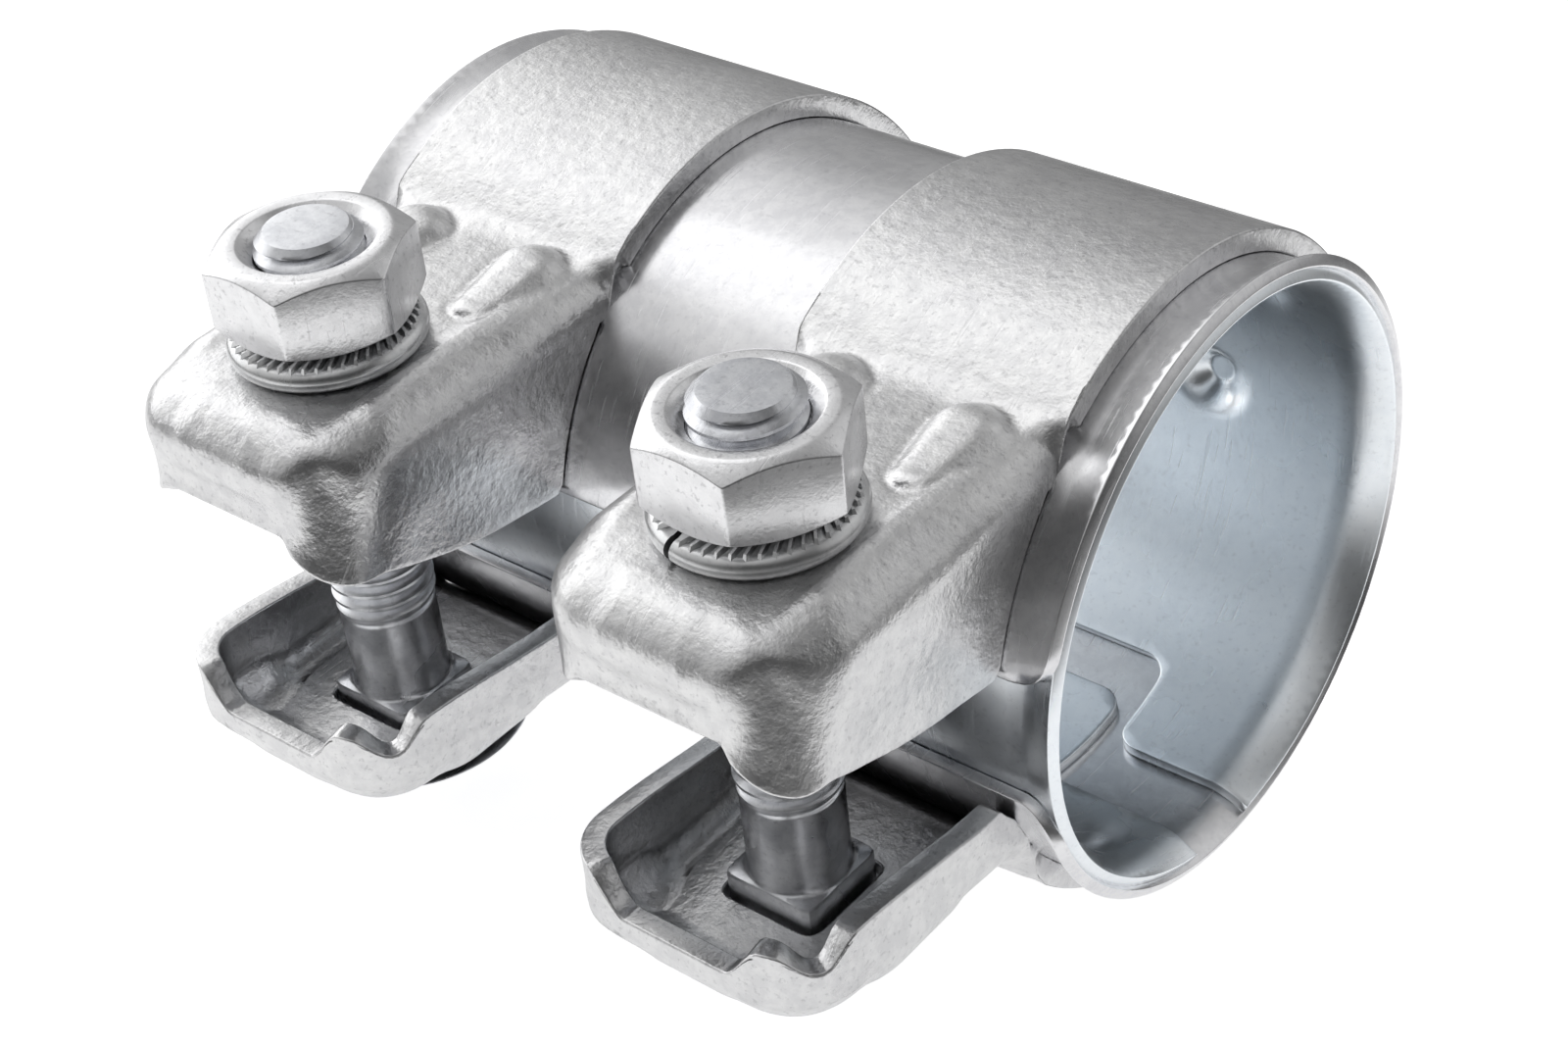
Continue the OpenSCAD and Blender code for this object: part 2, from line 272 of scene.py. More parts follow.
def mesh_arrays(mesh: Mesh) -> tuple[Array, Array, list[Face]]:
    """Read a mesh.

    Args:
        mesh: The mesh.

    Returns:
        Its points, the normals at its points, and its faces.
    """
    n = len(mesh.vertices)
    points, normals = np.empty(n * 3), np.empty(n * 3, np.float32)
    mesh.vertices.foreach_get("co", points)
    mesh.vertex_normals.foreach_get("vector", normals)
    faces = [tuple(p.vertices) for p in mesh.polygons]
    return points.reshape(-1, 3), normals.reshape(-1, 3).astype(float), faces


def set_points(mesh: Mesh, points: Array) -> None:
    """Move a mesh's points."""
    mesh.vertices.foreach_set("co", points.ravel())
    mesh.update()


def thickened(mesh: Mesh, sheet_t: float, edge_r: float) -> Surface:
    """Give a single-layer sheet its thickness and round its cut edges.

    Args:
        mesh: The sheet's outer face, with its normals outward.
        sheet_t: Thickness of the sheet, grown inward.
        edge_r: Radius along the cut edges.

    Returns:
        The closed wall.
    """
    points, normals, faces = mesh_arrays(mesh)
    sides = {(f[i], f[(i + 1) % len(f)]) for f in faces for i in range(len(f))}
    rim = sorted((a, b) for a, b in sides if (b, a) not in sides)
    out = np.zeros_like(points)
    for a, b in rim:
        side = np.cross(points[b] - points[a], normals[a] + normals[b])
        side /= max(np.linalg.norm(side), 1e-9)
        out[a] += side
        out[b] += side
    edge = sorted({i for pair in rim for i in pair})
    for i in edge:
        out[i] -= normals[i] * (out[i] @ normals[i])
        out[i] /= max(np.linalg.norm(out[i]), 1e-9)
    n = len(points)
    outer = points - out * edge_r
    wall = Surface()
    wall.add(np.vstack([outer, outer - normals * sheet_t]), faces + [tuple(n + i for i in reversed(f)) for f in faces])
    # The round edge: three rings on the outer side, then three on the inner side
    p, normal, away = points[edge], normals[edge], out[edge]
    rings = []
    for depth, sign, angles in ((edge_r, 1, (30, 60, 90)), (sheet_t - edge_r, -1, (90, 60, 30))):
        for angle in angles:
            s, c = math.sin(math.radians(angle)), math.cos(math.radians(angle))
            rings.append(p - edge_r * away - depth * normal + edge_r * (s * away + sign * c * normal))
    base, m = wall.count, len(edge)
    wall.add(np.vstack(rings), [])
    levels = [edge, *(range(base + k * m, base + (k + 1) * m) for k in range(len(rings))), [n + i for i in edge]]
    place = {v: k for k, v in enumerate(edge)}
    for a, b in rim:
        i, j = place[a], place[b]
        wall.faces += [(upper[j], upper[i], lower[i], lower[j]) for upper, lower in zip(levels, levels[1:])]
    return wall


def in_scene(name: str, data: bpy.types.ID) -> Piece:
    """Make an object and put it in the scene.

    Args:
        name: The object's name.
        data: Its mesh, lamp or camera.

    Returns:
        The object.
    """
    made = bpy.data.objects.new(name, data)
    bpy.context.scene.collection.objects.link(made)
    return made


def finish_piece(shape: Surface, name: str, material: Material, body: str,
                 sharp_deg: float = 180.0) -> Piece:
    """Turn a shape into a finished piece that rides on its body and replaces the node of its name.

    Args:
        shape: The shape, in millimetres with the bolts along Z.
        name: The piece's and the node's name.
        material: Its finish.
        body: The body it rides on.
        sharp_deg: Angle above which an edge shows as sharp.

    Returns:
        The finished object.
    """
    mesh = shape.mesh(name)
    set_points(mesh, leaned(mesh_arrays(mesh)[0]) * MM)
    mesh.polygons.foreach_set("use_smooth", [True] * len(mesh.polygons))
    if sharp_deg < 180.0:
        mesh.set_sharp_from_angle(angle=math.radians(sharp_deg))
    mesh.materials.append(material)
    piece = in_scene(name, mesh)
    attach(piece, body)
    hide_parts(name)
    LOG.info("%s: %d faces on %s", name, len(mesh.polygons), body)
    return piece


# Node trees


class Tree:
    """A node tree with short calls to add nodes and join them."""

    def __init__(self, tree: bpy.types.NodeTree) -> None:
        """Wrap a tree."""
        self.tree = tree

    def node(self, kind: str, **values: object) -> bpy.types.Node:
        """Add a node.

        Args:
            kind: The node's type.
            values: Its properties.

        Returns:
            The node.
        """
        node = self.tree.nodes.new(kind)
        for key, value in values.items():
            setattr(node, key, value)
        return node

    def feed(self, target: Socket, value: object) -> None:
        """Give a socket what it needs.

        Args:
            target: The socket.
            value: Another socket to link from, or a plain value.
        """
        if isinstance(value, Socket):
            self.tree.links.new(value, target)
        else:
            target.default_value = value

    def result(self, kind: str, inputs: dict, output: int | str = 0, **values: object) -> Socket:
        """Add a node and feed it.

        Args:
            kind: The node's type.
            inputs: What each input gets, by its name or number.
            output: Name or number of the output that is wanted.
            values: The node's properties.

        Returns:
            The output.
        """
        node = self.node(kind, **values)
        for label, value in inputs.items():
            self.feed(node.inputs[label], value)
        return node.outputs[output]

    def calc(self, operation: str, *values: object) -> Socket:
        """A Math node's result."""
        return self.result("ShaderNodeMath", dict(enumerate(values)), operation=operation)

    def times(self, a: object, b: object) -> Socket:
        """Two numbers multiplied."""
        return self.calc("MULTIPLY", a, b)

    def plus(self, a: object, b: object) -> Socket:
        """Two numbers added."""
        return self.calc("ADD", a, b)

    def on_circle(self, radius: Socket, angle: Socket) -> tuple[Socket, Socket]:
        """The two coordinates of a point at a radius and an angle."""
        return self.times(radius, self.calc("COSINE", angle)), self.times(radius, self.calc("SINE", angle))

    def xyz(self, *values: object) -> Socket:
        """A vector of three numbers."""
        return self.result("ShaderNodeCombineXYZ", dict(enumerate(values)))

    def dot(self, vector: Socket, toward: Triple) -> Socket:
        """How far a vector reaches in a direction."""
        return self.result("ShaderNodeVectorMath", {0: vector, 1: toward}, "Value", operation="DOT_PRODUCT")

    def spread(self, value: object, low: object, high: object, to_low: float = 0.0, to_high: float = 1.0,
               kind: str = "SMOOTHSTEP") -> Socket:
        """A value from low to high turned into one from to_low to to_high."""
        inputs = dict(enumerate((value, low, high, to_low, to_high)))
        return self.result("ShaderNodeMapRange", inputs, interpolation_type=kind)

    def noise(self, vector: Socket, scale: float, detail: float, rough: float, bend: float = 0.0) -> Socket:
        """A noise texture's value."""
        inputs = {"Vector": vector, "Scale": scale, "Detail": detail, "Roughness": rough, "Distortion": bend}
        return self.result("ShaderNodeTexNoise", inputs)

    def mix(self, share: Socket, a: object, b: object) -> Socket:
        """Colour a, with a share of colour b."""
        return self.result("ShaderNodeMix", {0: share, 6: a, 7: b}, 2, data_type="RGBA")


def new_group(kind: str, name: str, inputs: dict[str, tuple[str, object]],
              outputs: dict[str, str]) -> tuple[Tree, Sockets, Sockets]:
    """Start a node group.

    Args:
        kind: The type of tree.
        name: The group's name.
        inputs: Each input's socket type and first value.
        outputs: Each output's socket type.

    Returns:
        The tree, its input sockets by name, and its output sockets by name.
    """
    group = bpy.data.node_groups.new(name, kind)
    for label, (socket_kind, value) in inputs.items():
        socket = group.interface.new_socket(label, in_out="INPUT", socket_type=socket_kind)
        if value is not None:
            socket.default_value = value
    for label, socket_kind in outputs.items():
        group.interface.new_socket(label, in_out="OUTPUT", socket_type=socket_kind)
    tree = Tree(group)
    entry, leave = tree.node("NodeGroupInput"), tree.node("NodeGroupOutput")
    return tree, {k: entry.outputs[k] for k in inputs}, {k: leave.inputs[k] for k in outputs}


def shape_group(name: str, sizes: tuple[str, ...], counts: tuple[str, ...] = ()) -> tuple[Tree, Sockets, Sockets]:
    """Start a geometry node group that takes a shape, its sizes and a material.

    Args:
        name: The group's name.
        sizes: Names of its sizes.
        counts: Names of its whole numbers.

    Returns:
        The tree, its input sockets by name, and its output sockets by name.
    """
    inputs = {"Geometry": ("NodeSocketGeometry", None)}
    inputs |= {label: ("NodeSocketInt", None) for label in counts}
    inputs |= {label: ("NodeSocketFloat", None) for label in sizes}
    inputs |= {"Material": ("NodeSocketMaterial", None)}
    return new_group("GeometryNodeTree", name, inputs, {"Geometry": "NodeSocketGeometry"})


def end_shape(tree: Tree, shape: Socket, given: Sockets, out: Sockets) -> bpy.types.NodeTree:
    """End a geometry node group: make its instances real and set their material.

    Args:
        tree: The tree.
        shape: The shape so far.
        given: The group's inputs.
        out: The group's outputs.

    Returns:
        The finished group.
    """
    real = tree.result("GeometryNodeRealizeInstances", {"Geometry": shape})
    dressed = tree.result("GeometryNodeSetMaterial", {"Geometry": real, "Material": given["Material"]})
    tree.feed(out["Geometry"], dressed)
    return tree.tree


def run_tree(mesh: Mesh, group: bpy.types.NodeTree, values: dict[str, object]) -> Mesh:
    """Put a mesh through a geometry node tree.

    Args:
        mesh: What goes in.
        group: The tree.
        values: The tree's named inputs.

    Returns:
        The plain mesh that comes out.
    """
    carrier = in_scene("carrier", mesh)
    modifier = carrier.modifiers.new("shape", "NODES")
    modifier.node_group = group
    items = [i for i in group.interface.items_tree if i.item_type == "SOCKET" and i.in_out == "INPUT"]
    for item in items:
        if item.name in values:
            modifier[item.identifier] = values[item.name]
    bpy.context.view_layer.update()
    made = bpy.data.meshes.new_from_object(carrier.evaluated_get(bpy.context.evaluated_depsgraph_get()))
    carrier.modifiers.remove(modifier)
    bpy.data.objects.remove(carrier)
    return made


# Finishes


@dataclass(frozen=True)
class Plating:
    """The pattern that all the zinc plating shares: how fine its parts are, in cycles a metre, and how strong."""

    cloud: float = 45.0
    mottle: float = 650.0
    peel: float = 900.0
    spots: float = 1700.0
    speckle: float = 3200.0
    streaks: Triple = (2600.0, 130.0, 160.0)
    spot_tone: Triple = (0.3, 0.3, 0.31)
    spot_share: float = 0.28
    speckle_height: float = 0.3
    scratch_rough: float = 0.12
    scratch_depth: float = 0.25

    def build(self) -> bpy.types.NodeTree:
        """Make the shader group: cloudy tone, orange peel, fine speckle and fine scratches.

        Returns:
            The group.
        """
        tree, given, out = new_group(
            "ShaderNodeTree", "zinc_plating",
            {
                "Vector": ("NodeSocketVector", None),
                "Tone": ("NodeSocketColor", (0.8, 0.8, 0.8, 1)),
                "Shade": ("NodeSocketColor", (0.6, 0.62, 0.65, 1)),
                "Roughness": ("NodeSocketFloat", 0.3),
                "Peel": ("NodeSocketFloat", 1.0),
                "Speckle": ("NodeSocketFloat", 1.0),
                "Scratches": ("NodeSocketFloat", 1.0),
            },
            {"Color": "NodeSocketColor", "Roughness": "NodeSocketFloat", "Height": "NodeSocketFloat"},
        )
        vector = given["Vector"]
        cloud = tree.noise(vector, self.cloud, 4.0, 0.55)
        peel = tree.noise(vector, self.peel, 2.0, 0.5)
        speckle = tree.noise(vector, self.speckle, 2.0, 0.6)
        stretched = tree.result("ShaderNodeMapping", {"Vector": vector, "Scale": self.streaks})
        hair = tree.spread(tree.noise(stretched, 1.0, 2.0, 0.5, 0.35), 0.63, 0.7)
        spots = tree.spread(tree.noise(vector, self.spots, 3.0, 0.6), 0.56, 0.70)
        fine = tree.spread(tree.noise(vector, self.mottle, 3.0, 0.65), 0.36, 0.64)
        mottle = tree.plus(tree.times(fine, 0.5), tree.times(tree.spread(cloud, 0.32, 0.68), 0.5))
        dark = tree.times(tree.times(spots, given["Speckle"]), self.spot_share)
        tree.feed(out["Color"], tree.mix(dark, tree.mix(mottle, given["Shade"], given["Tone"]), (*self.spot_tone, 1)))
        rough = tree.plus(given["Roughness"], tree.spread(cloud, 0.3, 0.7, -0.05, 0.07))
        scratched = tree.times(hair, tree.times(given["Scratches"], self.scratch_rough))
        tree.feed(out["Roughness"], tree.plus(rough, scratched))
        grain = tree.times(speckle, tree.times(given["Speckle"], self.speckle_height))
        height = tree.plus(tree.times(peel, given["Peel"]), grain)
        scratched = tree.times(hair, tree.times(given["Scratches"], self.scratch_depth))
        tree.feed(out["Height"], tree.calc("SUBTRACT", height, scratched))
        return tree.tree


@dataclass(frozen=True)
class ZincFinish:
    """One zinc-plated steel finish."""

    name: str
    tone: Triple
    shade: Triple
    roughness: float
    peel: float
    speckle: float
    scratches: float
    bump_mm: float

    def build(self, plating: bpy.types.NodeTree) -> Material:
        """Make the material.

        Args:
            plating: The shared plating group.

        Returns:
            The material.
        """
        material = bpy.data.materials.new(self.name)
        material.use_nodes = True
        tree = Tree(material.node_tree)
        group = tree.node("ShaderNodeGroup", node_tree=plating)
        for label, value in (
            ("Vector", tree.result("ShaderNodeTexCoord", {}, "Object")),
            ("Tone", (*self.tone, 1)), ("Shade", (*self.shade, 1)), ("Roughness", self.roughness),
            ("Peel", self.peel), ("Speckle", self.speckle), ("Scratches", self.scratches),
        ):
            tree.feed(group.inputs[label], value)
        height = {"Strength": 1.0, "Distance": self.bump_mm * MM, "Height": group.outputs["Height"]}
        surface = material.node_tree.nodes["Principled BSDF"].inputs
        tree.feed(surface["Base Color"], group.outputs["Color"])
        tree.feed(surface["Roughness"], group.outputs["Roughness"])
        tree.feed(surface["Normal"], tree.result("ShaderNodeBump", height))
        tree.feed(surface["Metallic"], 1.0)
        return material


# Name, bright and dark tone, roughness, orange peel, speckle, scratches, and the height of the bumps in millimetres
FINISHES = (
    ZincFinish("zinc_clamp", (0.77, 0.77, 0.77), (0.62, 0.62, 0.63), 0.30, 1.0, 1.3, 0.35, 0.09),
    ZincFinish("zinc_sheet", (0.86, 0.86, 0.87), (0.72, 0.72, 0.74), 0.24, 0.35, 0.5, 0.8, 0.02),
    # The liner's tone is brighter and bluer than the sleeve's: painted reflection, standing in for the bluish light in
    # the bore
    ZincFinish("liner_sheet", (0.93, 0.965, 0.99), (0.86, 0.90, 0.94), 0.28, 0.3, 0.5, 0.6, 0.02),
    ZincFinish("bolt_steel", (0.76, 0.77, 0.79), (0.56, 0.57, 0.60), 0.28, 0.6, 1.0, 0.5, 0.03),
    ZincFinish("nut_steel", (0.86, 0.86, 0.87), (0.74, 0.74, 0.75), 0.27, 0.5, 1.4, 0.6, 0.04),
    ZincFinish("washer_steel", (0.72, 0.72, 0.72), (0.58, 0.59, 0.60), 0.26, 0.3, 0.8, 0.5, 0.02),
)


# Rolled walls: the sleeve and the liner


def rounded(corners: tuple[tuple[float, float, float, float], ...], r: float, steps: int) -> list[Point]:
    """Points round a row of corners.

    Args:
        corners: Each corner's middle, and its first and last angle in degrees.
        r: Radius of the corners.
        steps: Steps in each corner.

    Returns:
        The points in order, with both ends of each corner.
    """
    points = []
    for cx, cy, a0, a1 in corners:
        angles = [math.radians(a0 + (a1 - a0) * i / steps) for i in range(steps + 1)]
        points += [(cx + r * math.cos(a), cy + r * math.sin(a)) for a in angles]
    return points


def dense_outline(corners: list[Point], step: float) -> list[Point]:
    """Add points to an outline.

    Args:
        corners: The closed outline.
        step: No side is longer than this afterwards.

    Returns:
        The outline with its extra points.
    """
    out: list[Point] = []
    for (x0, y0), (x1, y1) in zip(corners, corners[1:] + corners[:1]):
        n = max(1, math.ceil(math.hypot(x1 - x0, y1 - y0) / step))
        out += [(x0 + (x1 - x0) * i / n, y0 + (y1 - y0) * i / n) for i in range(n)]
    return out


def rolling_tree() -> bpy.types.NodeTree:
    """Make geometry nodes that roll a flat blank into a tube, flare its rims and press its stakes outward.

    Returns:
        The group.
    """
    tree, given, out = shape_group("rolled_wall", (
        "Radius", "Start Angle", "Half Length", "Flare Length", "Flare Rise", "Stake Place", "Stake Angle",
        "Stake Mouth", "Stake Floor", "Stake Depth",
    ))
    split = tree.node("ShaderNodeSeparateXYZ")
    tree.feed(split.inputs[0], tree.result("GeometryNodeInputPosition", {}))
    along, around = split.outputs[0], split.outputs[1]
    reach = tree.calc("ABSOLUTE", along)
    angle = tree.plus(tree.calc("DIVIDE", around, given["Radius"]), given["Start Angle"])
    flare_from = tree.calc("SUBTRACT", given["Half Length"], given["Flare Length"])
    flare = tree.calc("POWER", tree.spread(reach, flare_from, given["Half Length"], kind="LINEAR"), 1.5)
    flare = tree.times(flare, given["Flare Rise"])
    off_x = tree.calc("SUBTRACT", reach, given["Stake Place"])
    off_a = tree.calc("WRAP", tree.calc("SUBTRACT", angle, given["Stake Angle"]), math.pi, -math.pi)
    off_s = tree.times(off_a, given["Radius"])
    away = tree.calc("SQRT", tree.plus(tree.times(off_x, off_x), tree.times(off_s, off_s)))
    press = tree.times(tree.spread(away, given["Stake Mouth"], given["Stake Floor"]), given["Stake Depth"])
    radius = tree.plus(tree.plus(given["Radius"], flare), press)
    place = tree.xyz(along, *tree.on_circle(radius, angle))
    rolled = tree.result("GeometryNodeSetPosition", {"Geometry": given["Geometry"], "Position": place})
    return end_shape(tree, rolled, given, out)


@dataclass
class RolledWall:
    """A slit tube rolled from a flat blank, in the pose with the bolts along Z."""

    name: str
    outer_r: float
    sheet_t: float
    start_deg: float
    slot: str
    flare_l: float = 3.6
    flare_h: float = 1.3
    flare_rows: int = 7
    edge_r: float = 0.16
    step: float = 1.5
    border_step: float = 0.7
    border_room: float = 0.42
    stake_deg: float = 0.0
    stake_room: float = 5.2
    stake_rings: int = 10
    stake_step: float = 0.5
    stake_point_step: float = 0.55
    mouth_soft: float = 0.5
    floor_soft: float = 0.1
    rim_room: float = 0.48

    @property
    def half_l(self) -> float:
        """Half of the blank's length along the tube."""
        return SIZE.tube_l / 2 - self.rim_room

    def outline(self) -> list[Point]:
        """The blank's outline, flat: x along the tube, y around it."""
        raise NotImplementedError

    def blank(self) -> Mesh:
        """Fill the flat blank with triangles that are small where the sheet bends sharply.

        Returns:
            The blank, in metres.
        """
        outline = dense_outline(self.outline(), self.border_step)
        border = np.array(outline)
        flat = self.half_l - self.flare_l
        flare = [self.flare_l * i / self.flare_rows for i in range(1, self.flare_rows + 1)]
        xs = [-self.half_l + v for v in flare]
        xs += list(np.linspace(-flat, flat, int((2 * self.half_l - 2 * self.flare_l) / self.step))[1:-1])
        xs += [self.half_l - v for v in reversed(flare)]
        ys = np.arange(border[:, 1].min() + 0.6, border[:, 1].max(), self.step)
        inside = [(x, y + (0.5 * self.step if k % 2 else 0.0)) for k, x in enumerate(xs) for y in ys]
        stake_y = math.radians(self.stake_deg - self.start_deg) * self.outer_r
        for stake_x in (-SIZE.side_x, SIZE.side_x):
            inside = [p for p in inside if math.hypot(p[0] - stake_x, p[1] - stake_y) > self.stake_room]
            inside.append((stake_x, stake_y))
            for k in range(1, self.stake_rings + 1):
                r = self.stake_step * k
                n = max(6, int(2 * math.pi * r / self.stake_point_step))
                turns = [2 * math.pi * i / n for i in range(n)]
                inside += [(stake_x + r * math.cos(a), stake_y + r * math.sin(a)) for a in turns]
        points = outline + [p for p in inside if np.hypot(*(border - p).T).min() > self.border_room]
        flat_points, _, faces, *_ = delaunay_2d_cdt(points, [], [list(range(len(outline)))], 1, 1e-7)
        mesh = bpy.data.meshes.new(self.name)
        mesh.from_pydata([(p[0] * MM, p[1] * MM, 0.0) for p in flat_points], [], [tuple(reversed(f)) for f in faces])
        return mesh

    def build(self, tree: bpy.types.NodeTree, material: Material) -> Piece:
        """Roll the blank, thicken it and dress it.

        Args:
            tree: The geometry nodes that roll it.
            material: Its finish.

        Returns:
            The finished piece.
        """
        lengths = {
            "Radius": self.outer_r, "Half Length": self.half_l, "Flare Length": self.flare_l,
            "Flare Rise": self.flare_h, "Stake Place": SIZE.side_x, "Stake Mouth": SIZE.stake_r + self.mouth_soft,
            "Stake Floor": SIZE.stake_floor_r - self.floor_soft, "Stake Depth": SIZE.stake_h,
        }
        angles = {"Start Angle": math.radians(self.start_deg), "Stake Angle": math.radians(self.stake_deg)}
        values = {label: length * MM for label, length in lengths.items()} | angles | {"Material": material}
        rolled = run_tree(self.blank(), tree, values)
        set_points(rolled, mesh_arrays(rolled)[0] / MM)
        wall = thickened(rolled, self.sheet_t, self.edge_r)
        return finish_piece(wall, self.name, material, "shell")


@dataclass
class OuterSleeve(RolledWall):
    """The outer sleeve, with its straight slot on the bolts' side."""

    name: str = "outer_sleeve"
    outer_r: float = SIZE.sleeve_r
    sheet_t: float = SIZE.sleeve_t
    start_deg: float = -180.0
    slot: str = "zinc_sheet"
    slot_w: float = 13.5
    corner_r: float = 4.5

    def outline(self) -> list[Point]:
        """A long rectangle with round corners.

        Returns:
            Its points.
        """
        r = self.corner_r
        end = self.half_l - r
        low = self.outer_r * math.asin(self.slot_w / 2 / self.outer_r)
        high = 2 * math.pi * self.outer_r - low
        corners = ((end, low + r, -90, 0), (end, high - r, 0, 90), (-end, high - r, 90, 180), (-end, low + r, 180, 270))
        return rounded(corners, r, 8)


@dataclass
class InnerLiner(RolledWall):
    """The inner liner, whose seam steps round a tongue that stands in a notch."""

    name: str = "inner_liner"
    outer_r: float = SIZE.liner_r
    sheet_t: float = SIZE.liner_t
    start_deg: float = -84.0
    slot: str = "liner_sheet"
    seam_w: float = 8.8
    tongue_l: float = 55.0
    tongue_reach: float = 14.6
    end_gap: float = 5.4
    side_gap: float = 2.0
    corner_r: float = 2.6

    def flat_y(self, height: float) -> float:
        """Place round the flat blank of a height that is measured straight across the seam."""
        return self.outer_r * math.asin((height - (self.tongue_reach + self.end_gap) / 2) / self.outer_r)

    def outline(self) -> list[Point]:
        """A long rectangle with the notch in its low side and the tongue on its high side.

        Returns:
            Its points.
        """
        half, r, tongue = self.half_l, self.corner_r, self.tongue_l / 2
        notch = tongue + self.side_gap
        turn = 2 * math.pi * self.outer_r
        low, floor_y = self.flat_y(self.seam_w), self.flat_y(self.tongue_reach + self.end_gap)
        high, tip = turn + self.flat_y(0), turn + self.flat_y(self.tongue_reach)
        notch_side = rounded((
            (-notch - r, low + r, -90, 0), (-notch + r, floor_y - r, 180, 90),
            (notch - r, floor_y - r, 90, 0), (notch + r, low + r, 180, 270),
        ), r, 6)
        tongue_side = rounded(((tongue - r, tip - r, 0, 90), (-tongue + r, tip - r, 90, 180)), r, 6)
        return [(-half, low), *notch_side, (half, low), (half, high), (tongue, high), *tongue_side, (-tongue, high),
                (-half, high)]


# Clamps


@dataclass
class Ear:
    """One box-shaped ear of a clamp, closed by side walls and an end wall. Depths are measured from its seat inward."""

    seat: float
    up: int
    hole_half: float
    hole_power: float
    edge_z: Callable[[Array, Array], Array]
    stand: Callable[[Array, Array, Array, Array], tuple[Array, Array]]
    start_y: float
    side_bend: float = 4.6
    corner_bend: float = 4.7
    end_bend: float = 6.0
    corner_r: float = 5.8
    far_corner_r: float = 5.8
    flute_depth: float = 0.0
    flute_head: float = 0.78
    widen_y: float = 44.0
    widen_l: float = 13.0
    end_flat: float = 3.0
    side_places: int = 30
    corner_places: int = 19
    end_places: int = 24

    def half_plan(self, r: float) -> Array:
        """Points round half of the ear in plan, from its side to the middle of its end.

        Args:
            r: Radius of the corner.

        Returns:
            Rows of x, y, inward x, inward y and the bend's radius.
        """
        half, end_y = SIZE.clamp_w / 2, -SIZE.bolt_reach - SIZE.ear_end
        rows = []
        for y in np.linspace(self.start_y, end_y + r, self.side_places)[:-1]:
            bend = self.side_bend + (self.corner_bend - self.side_bend) * rise(-y, self.widen_y, self.widen_l - r)
            rows.append((half, y, -1.0, 0.0, bend))
        for a in np.radians(np.linspace(0, 90, self.corner_places)):
            c, s = math.cos(a), math.sin(a)
            rows.append((half - r + r * c, end_y + r - r * s, -c, s, self.corner_bend))
        for x in np.linspace(half - r, 0, self.end_places)[1:]:
            share = fade(x, self.end_flat, half - r - self.end_flat)
            rows.append((x, end_y, 0.0, 1.0, self.corner_bend + (self.end_bend - self.corner_bend) * share))
        return np.array(rows)

    def stations(self) -> Array:
        """Points round the whole ear in plan, from its +X side over its end to its -X side.

        Returns:
            Rows as half_plan gives them.
        """
        far = self.half_plan(self.far_corner_r)[-2::-1]
        far[:, [0, 2]] *= -1
        return np.vstack([self.half_plan(self.corner_r), far])

    def flute(self, x: Array, y: Array) -> Array:
        """How deep the corner's flute is pressed at places in plan."""
        away = np.hypot(SIZE.clamp_w / 2 - np.abs(x), y + SIZE.bolt_reach + SIZE.ear_end)
        return self.flute_depth * fade(away, 2.0, 5.0)

    def hole(self, angle: Array) -> Array:
        """The hole's radius in each direction: a circle, or a square with round corners."""
        c, s = np.abs(np.cos(angle)), np.abs(np.sin(angle))
        return self.hole_half / (c ** self.hole_power + s ** self.hole_power) ** (1 / self.hole_power)


